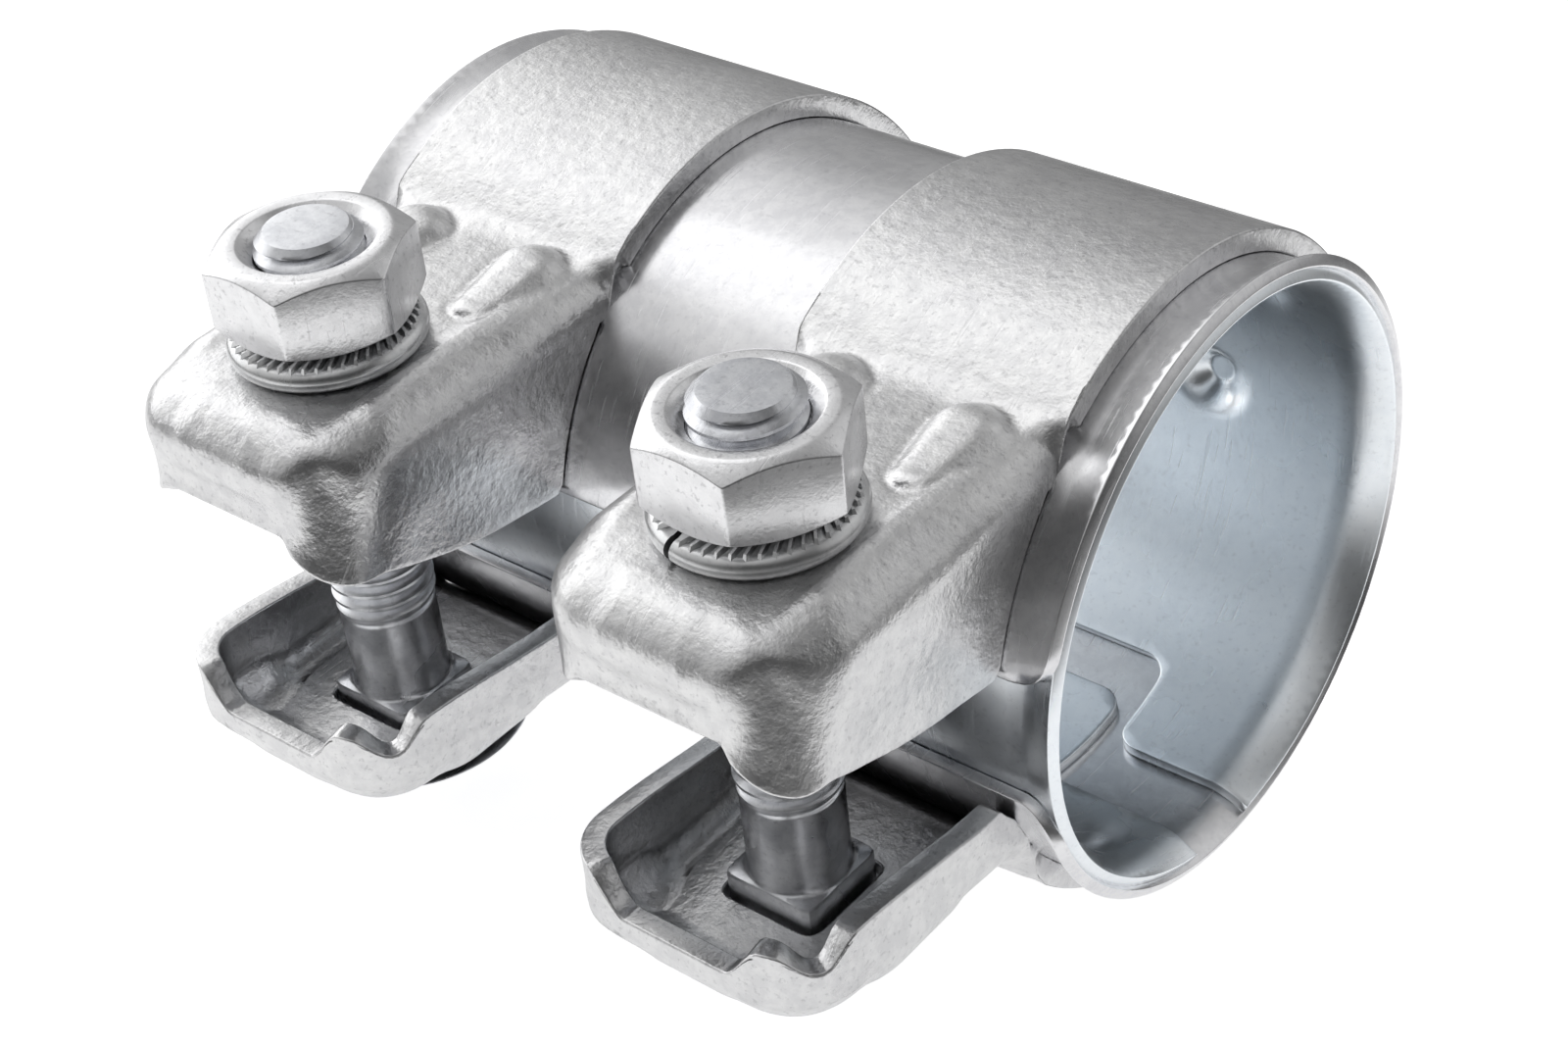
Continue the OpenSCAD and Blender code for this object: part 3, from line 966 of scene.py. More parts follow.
@dataclass
class Clamp:
    """A pressed clamp: a strap round the sleeve between an upper and a lower ear."""

    end: End
    edge_r: float = 0.22
    edge_bend: float = 3.8
    strap_columns: int = 22
    bend_columns: int = 8
    wall_columns: int = 15
    dart_x: float = 7.4
    dart_tip_y: float = -29.8
    dart_root_y: float = -22.6
    dart_tip_r: float = 2.2
    dart_spread: float = 1.5
    dart_tip_h: float = 0.7
    dart_gain_h: float = 1.05
    groove_h: float = 0.12
    root_r: float = 7.0
    slope_deg: float = 45.0
    heel_r: float = 1.5
    wall_gap: float = 0.12
    most_drop: float = 26.0
    blend_columns: int = 9
    ease_rounds: int = 28
    upper: Ear = field(init=False)
    lower: Ear = field(init=False)

    def __post_init__(self) -> None:
        """Set up both ears."""
        self.upper = Ear(seat=SIZE.upper_ear_h, up=1, hole_half=5.5, hole_power=2.0, edge_z=self.upper_edge,
                         stand=self.upper_stand, start_y=-28.0, flute_depth=3.5)
        self.lower = Ear(seat=-SIZE.lower_ear_h, up=-1, hole_half=5.4, hole_power=9.0, edge_z=self.lower_edge,
                         stand=self.lower_stand, start_y=-31.5, side_bend=4.8, corner_bend=6.2, end_bend=6.6,
                         corner_r=7.6, far_corner_r=6.3)

    @staticmethod
    def upper_edge(x: Array, y: Array) -> Array:
        """Height of the upper ear's open edge: a long curve, a shallow notch in the end wall, and low corners.

        Args:
            x: Place along the tube.
            y: Place across the tube.

        Returns:
            The height at each place.
        """
        arc_top, arc_r = 55.0, 48.0
        notch_h, notch_half, notch_run = 0.9, 7.4, 1.8
        near_low, far_low, corner_x = -1.2, -0.5, 12.8
        curve = arc_top - np.sqrt(arc_r ** 2 - np.minimum(y + SIZE.strap_in_r, 0) ** 2)
        notch = notch_h * fade(np.abs(x), notch_half, notch_run) * rise(-y, 55.6, 1.6)
        corner = np.where(x > 0, near_low, far_low) * bell(np.abs(x), corner_x, 2.4) * rise(-y, 51.0, 4.0)
        return curve + notch + corner

    @staticmethod
    def lower_edge(x: Array, y: Array) -> Array:
        """Height of the lower ear's open edge: a wide notch and a round dip in its end, and sides that fall.

        Args:
            x: Place along the tube.
            y: Place across the tube.

        Returns:
            The height at each place.
        """
        end_z, side_fall = -5.6, 2.0
        notch_h, notch_from, notch_to, notch_run = -3.9, -10.4, 4.7, 4.2
        dip_h, dip_x, dip_w = -2.6, 13.1, 1.8
        notch = notch_h * rise(x, notch_from, notch_run) * fade(x, notch_to, notch_run)
        dip = dip_h * bell(x, dip_x, dip_w)
        return end_z + (notch + dip) * rise(-y, 50.0, 3.5) - side_fall * rise(y, -52.0, 21.0)

    @staticmethod
    def upper_stand(x: Array, y: Array, depth: Array, total: Array) -> tuple[Array, Array]:
        """How the upper ear's sheet leaves its plan below the bend.

        Args:
            x: Place in plan along the tube.
            y: Place in plan across the tube.
            depth: Depth below the seat.
            total: Depth of the open edge.

        Returns:
            The hollow of its walls, and the share of the flute's depth that is left: its lip flares outward again.
        """
        lip_h, lip_run, far_share, top_share = 1.8, 8.5, 0.5, 0.78
        end_hollow, hollow_at, side_hollow = 1.2, 7.6, 0.5
        left = np.clip((total - lip_h - depth) / lip_run, -0.2, 1)
        kept = (top_share + (1 - top_share) * smooth(depth / 4.0)) * np.where(x > 0, left, far_share)
        end = rise(-y, 56.4, 1.0) * fade(np.abs(x), 8.0, 5.0)
        hollow = end_hollow * end * bell(depth, hollow_at, 2.5)
        return hollow + side_hollow * fade(-y, 45.0, 7.0) * rise(depth, 8.0, 7.0), kept

    @staticmethod
    def lower_stand(x: Array, y: Array, depth: Array, total: Array) -> tuple[Array, Array]:
        """How the lower ear's sheet leaves its plan: it leans in a little and has no flute."""
        return 0.25 * rise(depth, 4.5, 4.0), np.zeros_like(x)

    def profile(self) -> Array:
        """The strap's middle line from the upper ear to the lower one.

        Returns:
            Rows of y, z, outward y, outward z.
        """
        rows: list[tuple[float, float, float, float]] = []
        top, r, slope = SIZE.upper_ear_h, SIZE.strap_r, math.radians(self.slope_deg)
        root_y = -math.sqrt((r + self.root_r) ** 2 - (top + self.root_r) ** 2)
        leave = math.atan2(top + self.root_r, root_y)
        for y in np.linspace(self.upper.start_y, root_y, 16)[:-1]:
            rows.append((y, top, 0.0, 1.0))
        for a in np.linspace(-math.pi / 2, leave - math.pi, 10):
            c, s = math.cos(a), math.sin(a)
            rows.append((root_y + self.root_r * c, top + self.root_r + self.root_r * s, -c, -s))
        # Finer steps at the root and at the stake than on the plain strap
        last = -math.pi / 2 - slope
        knots = [leave, math.radians(106), math.radians(11), math.radians(-11), last]
        for a0, a1, step in zip(knots, knots[1:], (0.9, 2.2, 0.9, 2.0)):
            n = math.ceil(math.degrees(a0 - a1) / step)
            for a in np.linspace(a0, a1, n + 1)[1:]:
                rows.append((r * math.cos(a), r * math.sin(a), math.cos(a), math.sin(a)))
        floor = -SIZE.lower_ear_h
        y0, z0 = r * math.cos(last), r * math.sin(last)
        run = (floor - z0) / math.sin(slope)
        heel = self.heel_r * math.tan(slope / 2)
        for t in np.linspace(0, run - heel, 10)[1:]:
            rows.append((y0 - math.cos(slope) * t, z0 + math.sin(slope) * t, math.cos(last), math.sin(last)))
        heel_y = y0 - math.cos(slope) * run - heel
        for a in np.linspace(math.pi / 2 - slope, math.pi / 2, 6)[1:]:
            c, s = math.cos(a), math.sin(a)
            rows.append((heel_y + self.heel_r * c, floor - self.heel_r + self.heel_r * s, -c, -s))
        for y in np.linspace(heel_y, self.lower.start_y, 5)[1:]:
            rows.append((y, floor, 0.0, -1.0))
        return np.array(rows)

    def drop(self, y: float, z: float, out_y: float, out_z: float) -> float:
        """How far the sheet's edge reaches inward from a point of the strap's line.

        Args:
            y: The point's place across the tube.
            z: The point's height.
            out_y: Outward direction there, across the tube.
            out_z: Outward direction there, in height.

        Returns:
            The reach.
        """
        reach = np.linspace(0, self.most_drop, 2601)
        py, pz = y - out_y * reach, z - out_z * reach
        side = np.full_like(py, SIZE.clamp_w / 2)
        stop = np.hypot(py, pz) < SIZE.strap_in_r + self.wall_gap
        stop |= (pz < self.upper_edge(side, py)) if z > 0 else (pz > self.lower_edge(side, py))
        return float(reach[np.argmax(stop)]) if stop.any() else self.most_drop

    def section(self, drop: float, flat: float) -> Array:
        """Half of the strap's cross-section, from its middle to its edge.

        Args:
            drop: How far the sheet's edge reaches inward.
            flat: 1 where the whole width lies on the sleeve, 0 where the edge is bent.

        Returns:
            Rows of distance from the middle and inward drop.
        """
        bend, sheet = self.edge_bend, SIZE.strap_t
        beta = math.acos(min(max((bend - drop) / (bend - sheet), 0.0), 1.0))
        least_arc, least_wall, nearly_square = 1.0 + 1.6 * flat, 0.6 + 4.2 * flat, 1.55
        arc = max(bend * beta, least_arc)
        wall = max(drop - bend if beta > nearly_square else 0.0, least_wall)
        radius = arc / beta if beta > 1e-4 else 0.0
        across = (radius * math.sin(beta) if radius else arc) + wall * math.cos(beta)
        start = SIZE.clamp_w / 2 - across
        rows = [(start * j / self.strap_columns, 0.0) for j in range(self.strap_columns + 1)]
        for j in range(1, self.bend_columns + 1):
            share = j / self.bend_columns
            a = beta * share
            bent = (start + radius * math.sin(a), radius * (1 - math.cos(a)))
            rows.append(bent if radius else (start + arc * share, 0.0))
        corner_x, corner_d = rows[-1]
        for j in range(1, self.wall_columns + 1):
            length = wall * j / self.wall_columns
            rows.append((corner_x + length * math.cos(beta), corner_d + length * math.sin(beta)))
        return np.array(rows)

    def strap_grid(self) -> Array:
        """The strap with its curling edges.

        Returns:
            Rows of points from edge to edge.
        """
        profile = self.profile()
        drops = np.array([self.drop(*row) for row in profile])
        weights = np.array([1, 2, 3, 2, 1], float) / 9
        soft = np.convolve(np.pad(drops, 2, "edge"), weights, "valid")
        soft[[0, -1]] = drops[[0, -1]]
        # Rows that lie flat on the sleeve, with a gradual change on either side
        touching, margin, blur = 0.12, 7, 13
        near = (soft < SIZE.strap_t + touching).astype(float)
        shrunk = np.array([near[max(0, i - margin):i + margin + 1].min() for i in range(len(near))])
        flat = np.convolve(np.pad(shrunk, blur // 2, "edge"), np.ones(blur) / blur, "valid") * near
        rows = []
        for (y, z, out_y, out_z), d, f in zip(profile, soft, flat):
            half = self.section(float(d), float(f))
            x = np.concatenate([-half[:0:-1, 0], half[:, 0]])
            inward = np.concatenate([half[:0:-1, 1], half[:, 1]])
            rows.append(np.stack([x, y - out_y * inward, z - out_z * inward], axis=1))
        return np.array(rows)

    def skirt(self, ear: Ear) -> Array:
        """The ear's bends and walls, all round its plan.

        Args:
            ear: The ear.

        Returns:
            Points as (place in plan, depth, 3).
        """
        x, y, in_x, in_y, bend = ear.stations().T
        near = np.sqrt(np.maximum((SIZE.strap_in_r + self.wall_gap) ** 2 - y ** 2, 0))
        edge = ear.edge_z(x, y)
        edge = np.maximum(edge, near) if ear.up > 0 else np.minimum(edge, -near)
        total = (ear.seat - edge) * ear.up
        flute = ear.flute(x, y)
        bend = bend - flute * ear.flute_head * np.where(x > 0, 1.0, 0.5)
        whole = bend * np.arccos(np.clip(1 - total / bend, 0, 1)) + np.maximum(total - bend, 0)
        least_wall = 2.0
        split = np.minimum(bend * math.pi / 2, whole - least_wall)
        columns = []
        for j in range(self.bend_columns + self.wall_columns + 1):
            if j <= self.bend_columns:
                along = split * j / self.bend_columns
            else:
                along = split + (whole - split) * (j - self.bend_columns) / self.wall_columns
            a = np.minimum(along / bend, math.pi / 2)
            depth = bend * (1 - np.cos(a)) + np.maximum(along - bend * math.pi / 2, 0)
            hollow, kept = ear.stand(x, y, depth, total)
            stand = bend * (1 - np.sin(a)) + hollow + flute * kept
            columns.append(np.stack([x + in_x * stand, y + in_y * stand, ear.seat - ear.up * depth], axis=1))
        return np.stack(columns, axis=1)

    def ear_patch(self, shell: Surface, ear: Ear, row: Array) -> None:
        """Carry the strap's end row on into the ear: its bends, walls, seat and hole.

        Args:
            shell: Where the patches go.
            ear: The ear.
            row: The strap's end row of points, from the -X edge to the +X edge.
        """
        middle = self.strap_columns + self.bend_columns + self.wall_columns
        right, left = row[middle + self.strap_columns:], row[middle - self.strap_columns::-1]
        skirt = self.skirt(ear)
        for target, source, order in ((0, right, 1), (-1, left, -1)):
            shift = source - skirt[target]
            for step in range(self.blend_columns):
                skirt[target + order * step] += shift * fade(step, 0.0, self.blend_columns - 0.5)
        shell.grid(skirt, flip=(ear.up > 0))
        closing = row[middle - self.strap_columns:middle + self.strap_columns + 1]
        loop = np.vstack([skirt[:, 0], closing[1:-1]])
        angle = np.arctan2(loop[:, 1] + SIZE.bolt_reach, loop[:, 0])
        inner = polar(ear.hole(angle), angle, ear.seat) - np.array([0, SIZE.bolt_reach, 0])
        # The seat's rings: close together round the hole, then evenly on to the bends
        close_share = 0.3
        near_hole = np.array([0, 0.3, 0.6, 0.9, 1.4, 2.1, 3.0]) / 3.0 * close_share
        shares = np.concatenate([near_hole, np.linspace(close_share, 1, 24)[1:]])
        shell.grid(np.array([inner + (loop - inner) * s for s in shares]), closed_v=True, flip=(ear.up < 0))

    def pressed(self, points: Array) -> Array:
        """Move the sheet's points for its ridges, darts and stake.

        Args:
            points: The sheet's points.

        Returns:
            The moved points.
        """
        p = points.copy()
        x, y, z = points.T
        # The ridges, hollows and darts are on the upper ear and the strap beside it only
        ear_from_z, ear_to_y = 18, -10
        high = (z > ear_from_z) & (y < ear_to_y)
        depth = np.maximum(SIZE.upper_ear_h - z, 0)
        ridge_h, ridge_x, ridge_w = 0.3, 10.2, 1.15
        ridge = bell(np.abs(x), ridge_x, ridge_w) * rise(-y, 21.0, 5.0) * fade(-y, 47.5, 4.0)
        p[:, 2] += np.where(high, ridge_h * ridge * fade(depth, 0.0, 1.6), 0.0)
        sink_h, sink_x, sink_y, sink_w = 0.9, 10.4, -53.4, 3.4
        sink = np.exp(-((np.abs(x) - sink_x) ** 2 + (y - sink_y) ** 2) / sink_w ** 2)
        p[:, 2] -= np.where(high, sink_h * sink * fade(depth, 0.0, 5.0), 0.0)
        dart_l = self.dart_root_y - self.dart_tip_y
        for side in (-1, 1):
            t = np.clip((y - self.dart_tip_y) / dart_l, 0, 1)
            d = np.hypot(x - side * self.dart_x, y - (self.dart_tip_y + dart_l * t))
            foot = self.dart_tip_r + self.dart_spread * t
            ridge = (self.dart_tip_h + self.dart_gain_h * t) * np.clip(1 - (d / foot) ** 3, 0, 1)
            groove = -self.groove_h * bell(d, foot * 1.12, 0.5)
            p[:, 2] += np.where(high, ridge + groove, 0.0)
        d = np.hypot(x, SIZE.strap_r * np.arctan2(z, y))
        press = SIZE.stake_h * smooth((SIZE.stake_r + 0.6 - d) / (SIZE.stake_r - SIZE.stake_floor_r + 0.7))
        p[:, 1] += np.where(y > 0, press, 0.0)
        return p

    def relaxed(self, mesh: Mesh, points: Array) -> Array:
        """Ease the creases round the ears' corners, as a press tool's radii do.

        Args:
            mesh: The sheet, for its edges.
            points: The sheet's points.

        Returns:
            The points, with the open edges where they were.
        """
        p = points.copy()
        edges = np.empty(len(mesh.edges) * 2, np.int32)
        mesh.edges.foreach_get("vertices", edges)
        edges = edges.reshape(-1, 2)
        used = np.empty(len(mesh.loops), np.int32)
        mesh.loops.foreach_get("edge_index", used)
        rim = edges[np.bincount(used, minlength=len(edges)) == 1].ravel()
        # How much each point gives way: most at the upper ear's corners, less at the lower ear's corners and root
        corner = np.hypot(np.abs(p[:, 0]) - SIZE.clamp_w / 2 + 3.5, p[:, 1] + SIZE.bolt_reach + SIZE.ear_end - 3.5)
        root = np.hypot(np.abs(p[:, 0]) - SIZE.clamp_w / 2 + 1.5, p[:, 1] + 31.0)
        low = 0.3 * fade(corner, 5.0, 3.0) * fade(p[:, 2], -13.6, 2.0)
        share = np.where(p[:, 2] > 0, 0.6 * fade(corner, 4.0, 3.5), low)
        share = np.maximum(share, np.where(p[:, 2] < 0, 0.5 * fade(root, 3.0, 3.0), 0.0))
        share[rim] = 0.0
        a, b = edges.T
        around = np.maximum(np.bincount(edges.ravel(), minlength=len(p)), 1)
        for _ in range(self.ease_rounds):
            for k in range(3):
                total = np.bincount(a, p[b, k], len(p)) + np.bincount(b, p[a, k], len(p))
                p[:, k] += share * (total / around - p[:, k])
        return p

    def build(self, material: Material) -> Piece:
        """Make the clamp's shell and dress it.

        Args:
            material: Its finish.

        Returns:
            The finished piece.
        """
        shell = Surface()
        strap = self.strap_grid()
        shell.grid(strap)
        self.ear_patch(shell, self.upper, strap[0])
        self.ear_patch(shell, self.lower, strap[-1])
        mesh = shell.mesh("clamp_sheet", 0.004)
        set_points(mesh, self.relaxed(mesh, self.pressed(mesh_arrays(mesh)[0])))
        wall = thickened(mesh, SIZE.strap_t, self.edge_r)
        wall.shift(self.end.value * SIZE.side_x, 0.0, 0.0)
        return finish_piece(wall, self.end.named("clamp"), material, "shell")


# Fasteners


def turned(profile: list[Point], angles: Array) -> Array:
    """Points of a profile of radius and height, turned about Z, as (profile, angle, 3)."""
    return np.array([[(r * math.cos(a), r * math.sin(a), z) for a in angles] for r, z in profile])


@dataclass
class Fastener:
    """Something on a bolt's axis."""

    end: End

    def place(self, shape: Surface, height: float) -> None:
        """Move a shape from the origin to this end's bolt, at a height."""
        shape.shift(self.end.value * SIZE.side_x, -SIZE.bolt_reach, height)


@dataclass
class Bolt(Fastener):
    """A bolt with a domed head, a square neck, a plain shank and a long thread."""

    thread_d: float = 10.0
    length: float = 55.5
    thread_l: float = 42.0
    shank_d: float = 9.4
    neck_w: float = 9.8
    neck_h: float = 6.0
    head_d: float = 24.0
    head_h: float = 5.0
    pitch: float = 1.5
    thread_depth: float = 0.61
    run_in: float = 2.4
    tip_chamfer: float = 1.1
    rear_drop: float = 0.8
    dome_rings: int = 26
    turn_rows: int = 10

    def lower_part(self, angles: Array) -> Array:
        """Rings from the head's middle over its rim to the square neck and the shank.

        Args:
            angles: Places round the bolt.

        Returns:
            Points as (ring, angle, 3).
        """
        r, h = self.head_d / 2, self.head_h
        dome = (r * r + h * h) / (2 * h)
        slant = math.asin((r - 0.35) / dome)
        slopes = [slant * i / self.dome_rings for i in range(1, self.dome_rings + 1)]
        plain = [(dome * math.sin(a), dome - h - dome * math.cos(a)) for a in slopes]
        # The head's soft rim and its flat face under the ear
        plain += [(r - 0.1, -0.22), (r, -0.1), (r - 0.08, -0.02), (r - 0.4, 0.0), (9.0, 0.0), (7.4, 0.0)]
        rings = list(turned(plain, angles))
        c, s = np.abs(np.cos(angles)), np.abs(np.sin(angles))
        square = self.neck_w / 2 / (c ** 14 + s ** 14) ** (1 / 14)
        shank = np.full_like(angles, self.shank_d / 2)
        # Heights, and the share of the way from the square to the round shank: a flat step with a crisp edge
        top = self.neck_h
        steps = [(0.0, 0.0), (0.6, 0.0)]
        steps += [(top + up, share) for up, share in (
            (-1.75, 0.0), (-1.5, 0.0), (-1.36, 0.06), (-1.3, 0.2), (-1.22, 0.6), (-1.05, 0.86), (-0.75, 0.97),
            (-0.3, 1.0), (1.0, 1.0),
        )]
        steps += [(z, 1.0) for z in np.linspace(top + 1.9, self.length - self.thread_l - 0.2, 10)]
        rings += [polar(square + (shank - square) * share, angles, z) for z, share in steps]
        return np.array(rings)

    def thread(self, angles: Array) -> Array:
        """The rolled thread, whose rows follow the helix; its ends fade into the shank and the tip's chamfer.

        Args:
            angles: Places round the bolt.

        Returns:
            Points as (row, angle, 3).
        """
        low, high = self.length - self.thread_l, self.length
        major, shank = self.thread_d / 2, self.shank_d / 2
        minor = major - self.thread_depth * self.pitch
        count = self.turn_rows
        form = np.interp(np.arange(count) / count, [0, 0.12, 0.44, 0.56, 0.88, 1.0], [1, 1, 0.06, 0.0, 1.0, 1]) ** 0.9
        turn = np.append(angles, 2 * math.pi)
        rows = []
        for i in range(-2 * count, (int(self.thread_l / self.pitch) + 1) * count + 1):
            z = low + (i / count + turn / (2 * math.pi)) * self.pitch
            r = minor + (major - minor) * form[i % count]
            r = shank + (r - shank) * rise(z, low, self.run_in)
            r = np.where(z > high - self.tip_chamfer, np.minimum(r, major - (z - high + self.tip_chamfer)), r)
            r = np.where(z >= high, major - self.tip_chamfer, r)
            rows.append(polar(r, turn, np.clip(z, low - 0.2, high)))
        return np.array(rows)

    def build(self, material: Material) -> Piece:
        """Make the bolt and dress it.

        Args:
            material: Its finish.

        Returns:
            The finished piece.
        """
        angles = np.linspace(0, 2 * math.pi, 73)[:-1]
        shape = Surface()
        lower = self.lower_part(angles)
        shape.fan(lower[0], flip=True)
        shape.grid(lower, closed_v=True)
        shape.grid(self.thread(angles))
        tip = self.thread_d / 2 - self.tip_chamfer
        cap = turned([(tip, self.length), (tip - 0.25, self.length + 0.03), (tip * 0.5, self.length + 0.03)], angles)
        shape.grid(cap, closed_v=True)
        shape.fan(cap[-1])
        self.place(shape, -SIZE.lower_ear_h - (self.rear_drop if self.end is End.REAR else 0.0))
        name = self.end.named("bolt")
        return finish_piece(shape, name, material, name, sharp_deg=38)


@dataclass
class Nut(Fastener):
    """A hexagon nut, chamfered and countersunk on both faces."""

    flats: float = 17.0
    height: float = 8.0
    ring_d: float = 15.4
    sink_d: float = 12.8
    sink_h: float = 1.4
    bore_d: float = 10.1
    soft: float = 0.12
    corner_loss: float = 0.07
    seat_z: float = 29.06
    turn_deg: float = -2.0

    def build(self, material: Material) -> Piece:
        """Make the nut and dress it.

        Args:
            material: Its finish.

        Returns:
            The finished piece.
        """
        close = math.radians(0.9)
        corners = [math.radians(60 * k) for k in range(7)]
        places: list[float] = []
        for a, b in zip(corners, corners[1:]):
            places += [a, a + close, *np.linspace(a, b, 22)[1:-1], b - close]
        angles = np.array(sorted(places))
        local = (angles % math.radians(60)) - math.radians(30)
        hexagon = self.flats / 2 / np.cos(local)
        # Corners lose a hair, so that they catch the light
        hexagon -= self.corner_loss * bell(np.abs(local), math.radians(30), math.radians(1.0))
        ring, sink, bore, h, soft = self.ring_d / 2, self.sink_d / 2, self.bore_d / 2, self.height, self.soft
        fall = (hexagon - ring) * math.tan(math.radians(30))
        # Radius and height of each ring, from the upper countersink over the sides to the lower one
        rows = [
            (bore, h - self.sink_h), (sink - soft, h - soft), (sink, h - 0.03), (sink + soft, h), (ring - 0.25, h),
            (ring, h - 0.03), (ring + 0.2, h - 0.15), (hexagon - soft, h - fall + soft * 0.6),
            (hexagon - 0.03, h - fall - 0.02), (hexagon, h - fall - soft), (hexagon, fall + soft),
            (hexagon - 0.03, fall + 0.02), (hexagon - soft, fall - soft * 0.6), (ring + 0.2, 0.15), (ring, 0.03),
            (ring - 0.25, 0.0), (sink, 0.0), (bore, self.sink_h),
        ]
        placed = angles + math.radians(self.turn_deg)
        shape = Surface()
        shape.grid(np.array([polar(r, placed, z) for r, z in rows]), closed_u=True, closed_v=True, flip=True)
        self.place(shape, self.seat_z)
        name = self.end.named("nut")
        return finish_piece(shape, name, material, name, sharp_deg=40)


def serration_tree() -> bpy.types.NodeTree:
    """Make geometry nodes that set slanted ribs in a ring on a washer's cone and join them to the washer.

    Returns:
        The group.
    """
    tree, given, out = shape_group("serrations", (
        "Ring Radius", "Ring Height", "Rib Length", "Rib Width", "Rib Height", "Slant", "Fall", "Split Angle",
        "Split Room",
    ), ("Count",))
    line = tree.result("GeometryNodeMeshLine", {"Count": given["Count"], "Offset": (0, 0, 0)}, mode="OFFSET")
    share = tree.calc("DIVIDE", tree.plus(tree.result("GeometryNodeInputIndex", {}), 0.5), given["Count"])
    room = tree.calc("SUBTRACT", 2 * math.pi, tree.times(given["Split Room"], 2.0))
    angle = tree.plus(tree.plus(given["Split Angle"], given["Split Room"]), tree.times(share, room))
    place = tree.xyz(*tree.on_circle(given["Ring Radius"], angle), given["Ring Height"])
    places = tree.result("GeometryNodeSetPosition", {"Geometry": line, "Position": place})
    # A rib is a cone of four sides, turned square and stretched
    cone = {"Vertices": 4, "Radius Top": 0.45, "Radius Bottom": 0.7071, "Depth": 1.0}
    rib = tree.result("GeometryNodeMeshCone", cone)
    rib = tree.result("GeometryNodeTransform", {"Geometry": rib, "Rotation": (0, 0, math.pi / 4)})
    size = tree.xyz(given["Rib Length"], given["Rib Width"], given["Rib Height"])
    rib = tree.result("GeometryNodeTransform", {"Geometry": rib, "Scale": size})
    tilt = tree.xyz(0.0, given["Fall"], given["Slant"])
    rib = tree.result("GeometryNodeTransform", {"Geometry": rib, "Rotation": tilt})
    spin = tree.result("FunctionNodeEulerToRotation", {0: tree.xyz(0.0, 0.0, angle)})
    ribs = tree.result("GeometryNodeInstanceOnPoints", {"Points": places, "Instance": rib, "Rotation": spin})
    join = tree.node("GeometryNodeJoinGeometry")
    tree.feed(join.inputs[0], ribs)
    tree.feed(join.inputs[0], given["Geometry"])
    return end_shape(tree, join.outputs[0], given, out)


@dataclass
class LockWasher(Fastener):
    """A split spring washer with a thick round rim and a serrated cone."""

    outer_d: float = 18.5
    hole_d: float = 10.4
    sheet_t: float = 2.3
    cone: float = 1.3
    split: float = 0.7
    front_deg: float = -103.0
    rear_deg: float = 75.0
    ribs: int = 44
    ribs_r: float = 7.775
    rib_l: float = 2.35
    rib_w: float = 0.42
    rib_h: float = 0.5
    slant_deg: float = -34.0
    rib_sunk: float = 0.02
    split_room: float = 0.07

    @property
    def inner(self) -> float:
        """Radius of the hole."""
        return self.hole_d / 2

    @property
    def cone_w(self) -> float:
        """Width of the cone, from the hole to the middle of the round rim."""
        return self.outer_d / 2 - self.sheet_t / 2 - self.inner

    def outline(self) -> list[Point]:
        """The ring's cross-section.

        Returns:
            Radius and height of each point round it.
        """
        rim = self.sheet_t / 2
        rim_y = self.outer_d / 2 - rim
        inner, width, top = self.inner, self.cone_w, self.cone + self.sheet_t
        points = [(inner, self.cone + 0.15), (inner, top - 0.2), (inner + 0.2, top - 0.03)]
        for i in range(1, 5):
            along = (width - 0.2) * i / 5
            points.append((inner + 0.2 + along, top - self.cone * (0.2 + along) / width))
        for i in range(15):
            a = math.pi / 2 - math.pi * i / 14
            points.append((rim_y + rim * math.cos(a), rim + rim * math.sin(a)))
        return points + [(rim_y + (inner + 0.15 - rim_y) * i / 4, self.cone * i / 4) for i in range(1, 5)]

    def build(self, tree: bpy.types.NodeTree, material: Material) -> Piece:
        """Make the washer, set its serrations and dress it.

        Args:
            tree: The geometry nodes that set the serrations.
            material: Its finish.

        Returns:
            The finished piece.
        """
        split = math.radians(self.front_deg if self.end is End.FRONT else self.rear_deg)
        room = self.split / 2 / (self.outer_d / 2)
        angles = np.linspace(split + room, split + 2 * math.pi - room, 145)
        rings = turned(self.outline(), angles)
        shape = Surface()
        shape.grid(rings, closed_u=True, flip=True)
        shape.fan(rings[:, 0], flip=True)
        shape.fan(rings[:, -1])
        drop = self.cone * (self.ribs_r - self.inner) / self.cone_w
        cut = run_tree(shape.mesh("washer_ring"), tree, {
            "Count": self.ribs, "Ring Radius": self.ribs_r,
            "Ring Height": self.cone + self.sheet_t - drop - self.rib_sunk,
            "Rib Length": self.rib_l, "Rib Width": self.rib_w, "Rib Height": self.rib_h,
            "Slant": math.radians(self.slant_deg), "Fall": math.atan2(self.cone, self.cone_w) * 0.9,
            "Split Angle": split, "Split Room": room + self.split_room, "Material": material,
        })
        points, _, faces = mesh_arrays(cut)
        made = Surface()
        made.add(points, faces)
        self.place(made, SIZE.upper_ear_h)
        return finish_piece(made, self.end.named("washer"), material, "shell", sharp_deg=35)


# Studio


@dataclass(frozen=True)
class Glow:
    """A soft bright part of the sky that the metal reflects."""

    toward: Triple
    fades_at: float
    full_at: float
    strength: float


@dataclass(frozen=True)
class FloorFade:
    """A side on which the floor is dimmer in reflections, from one distance in metres to another: painted shade."""

    toward: Triple
    starts_at: float
    ends_at: float
    left: float


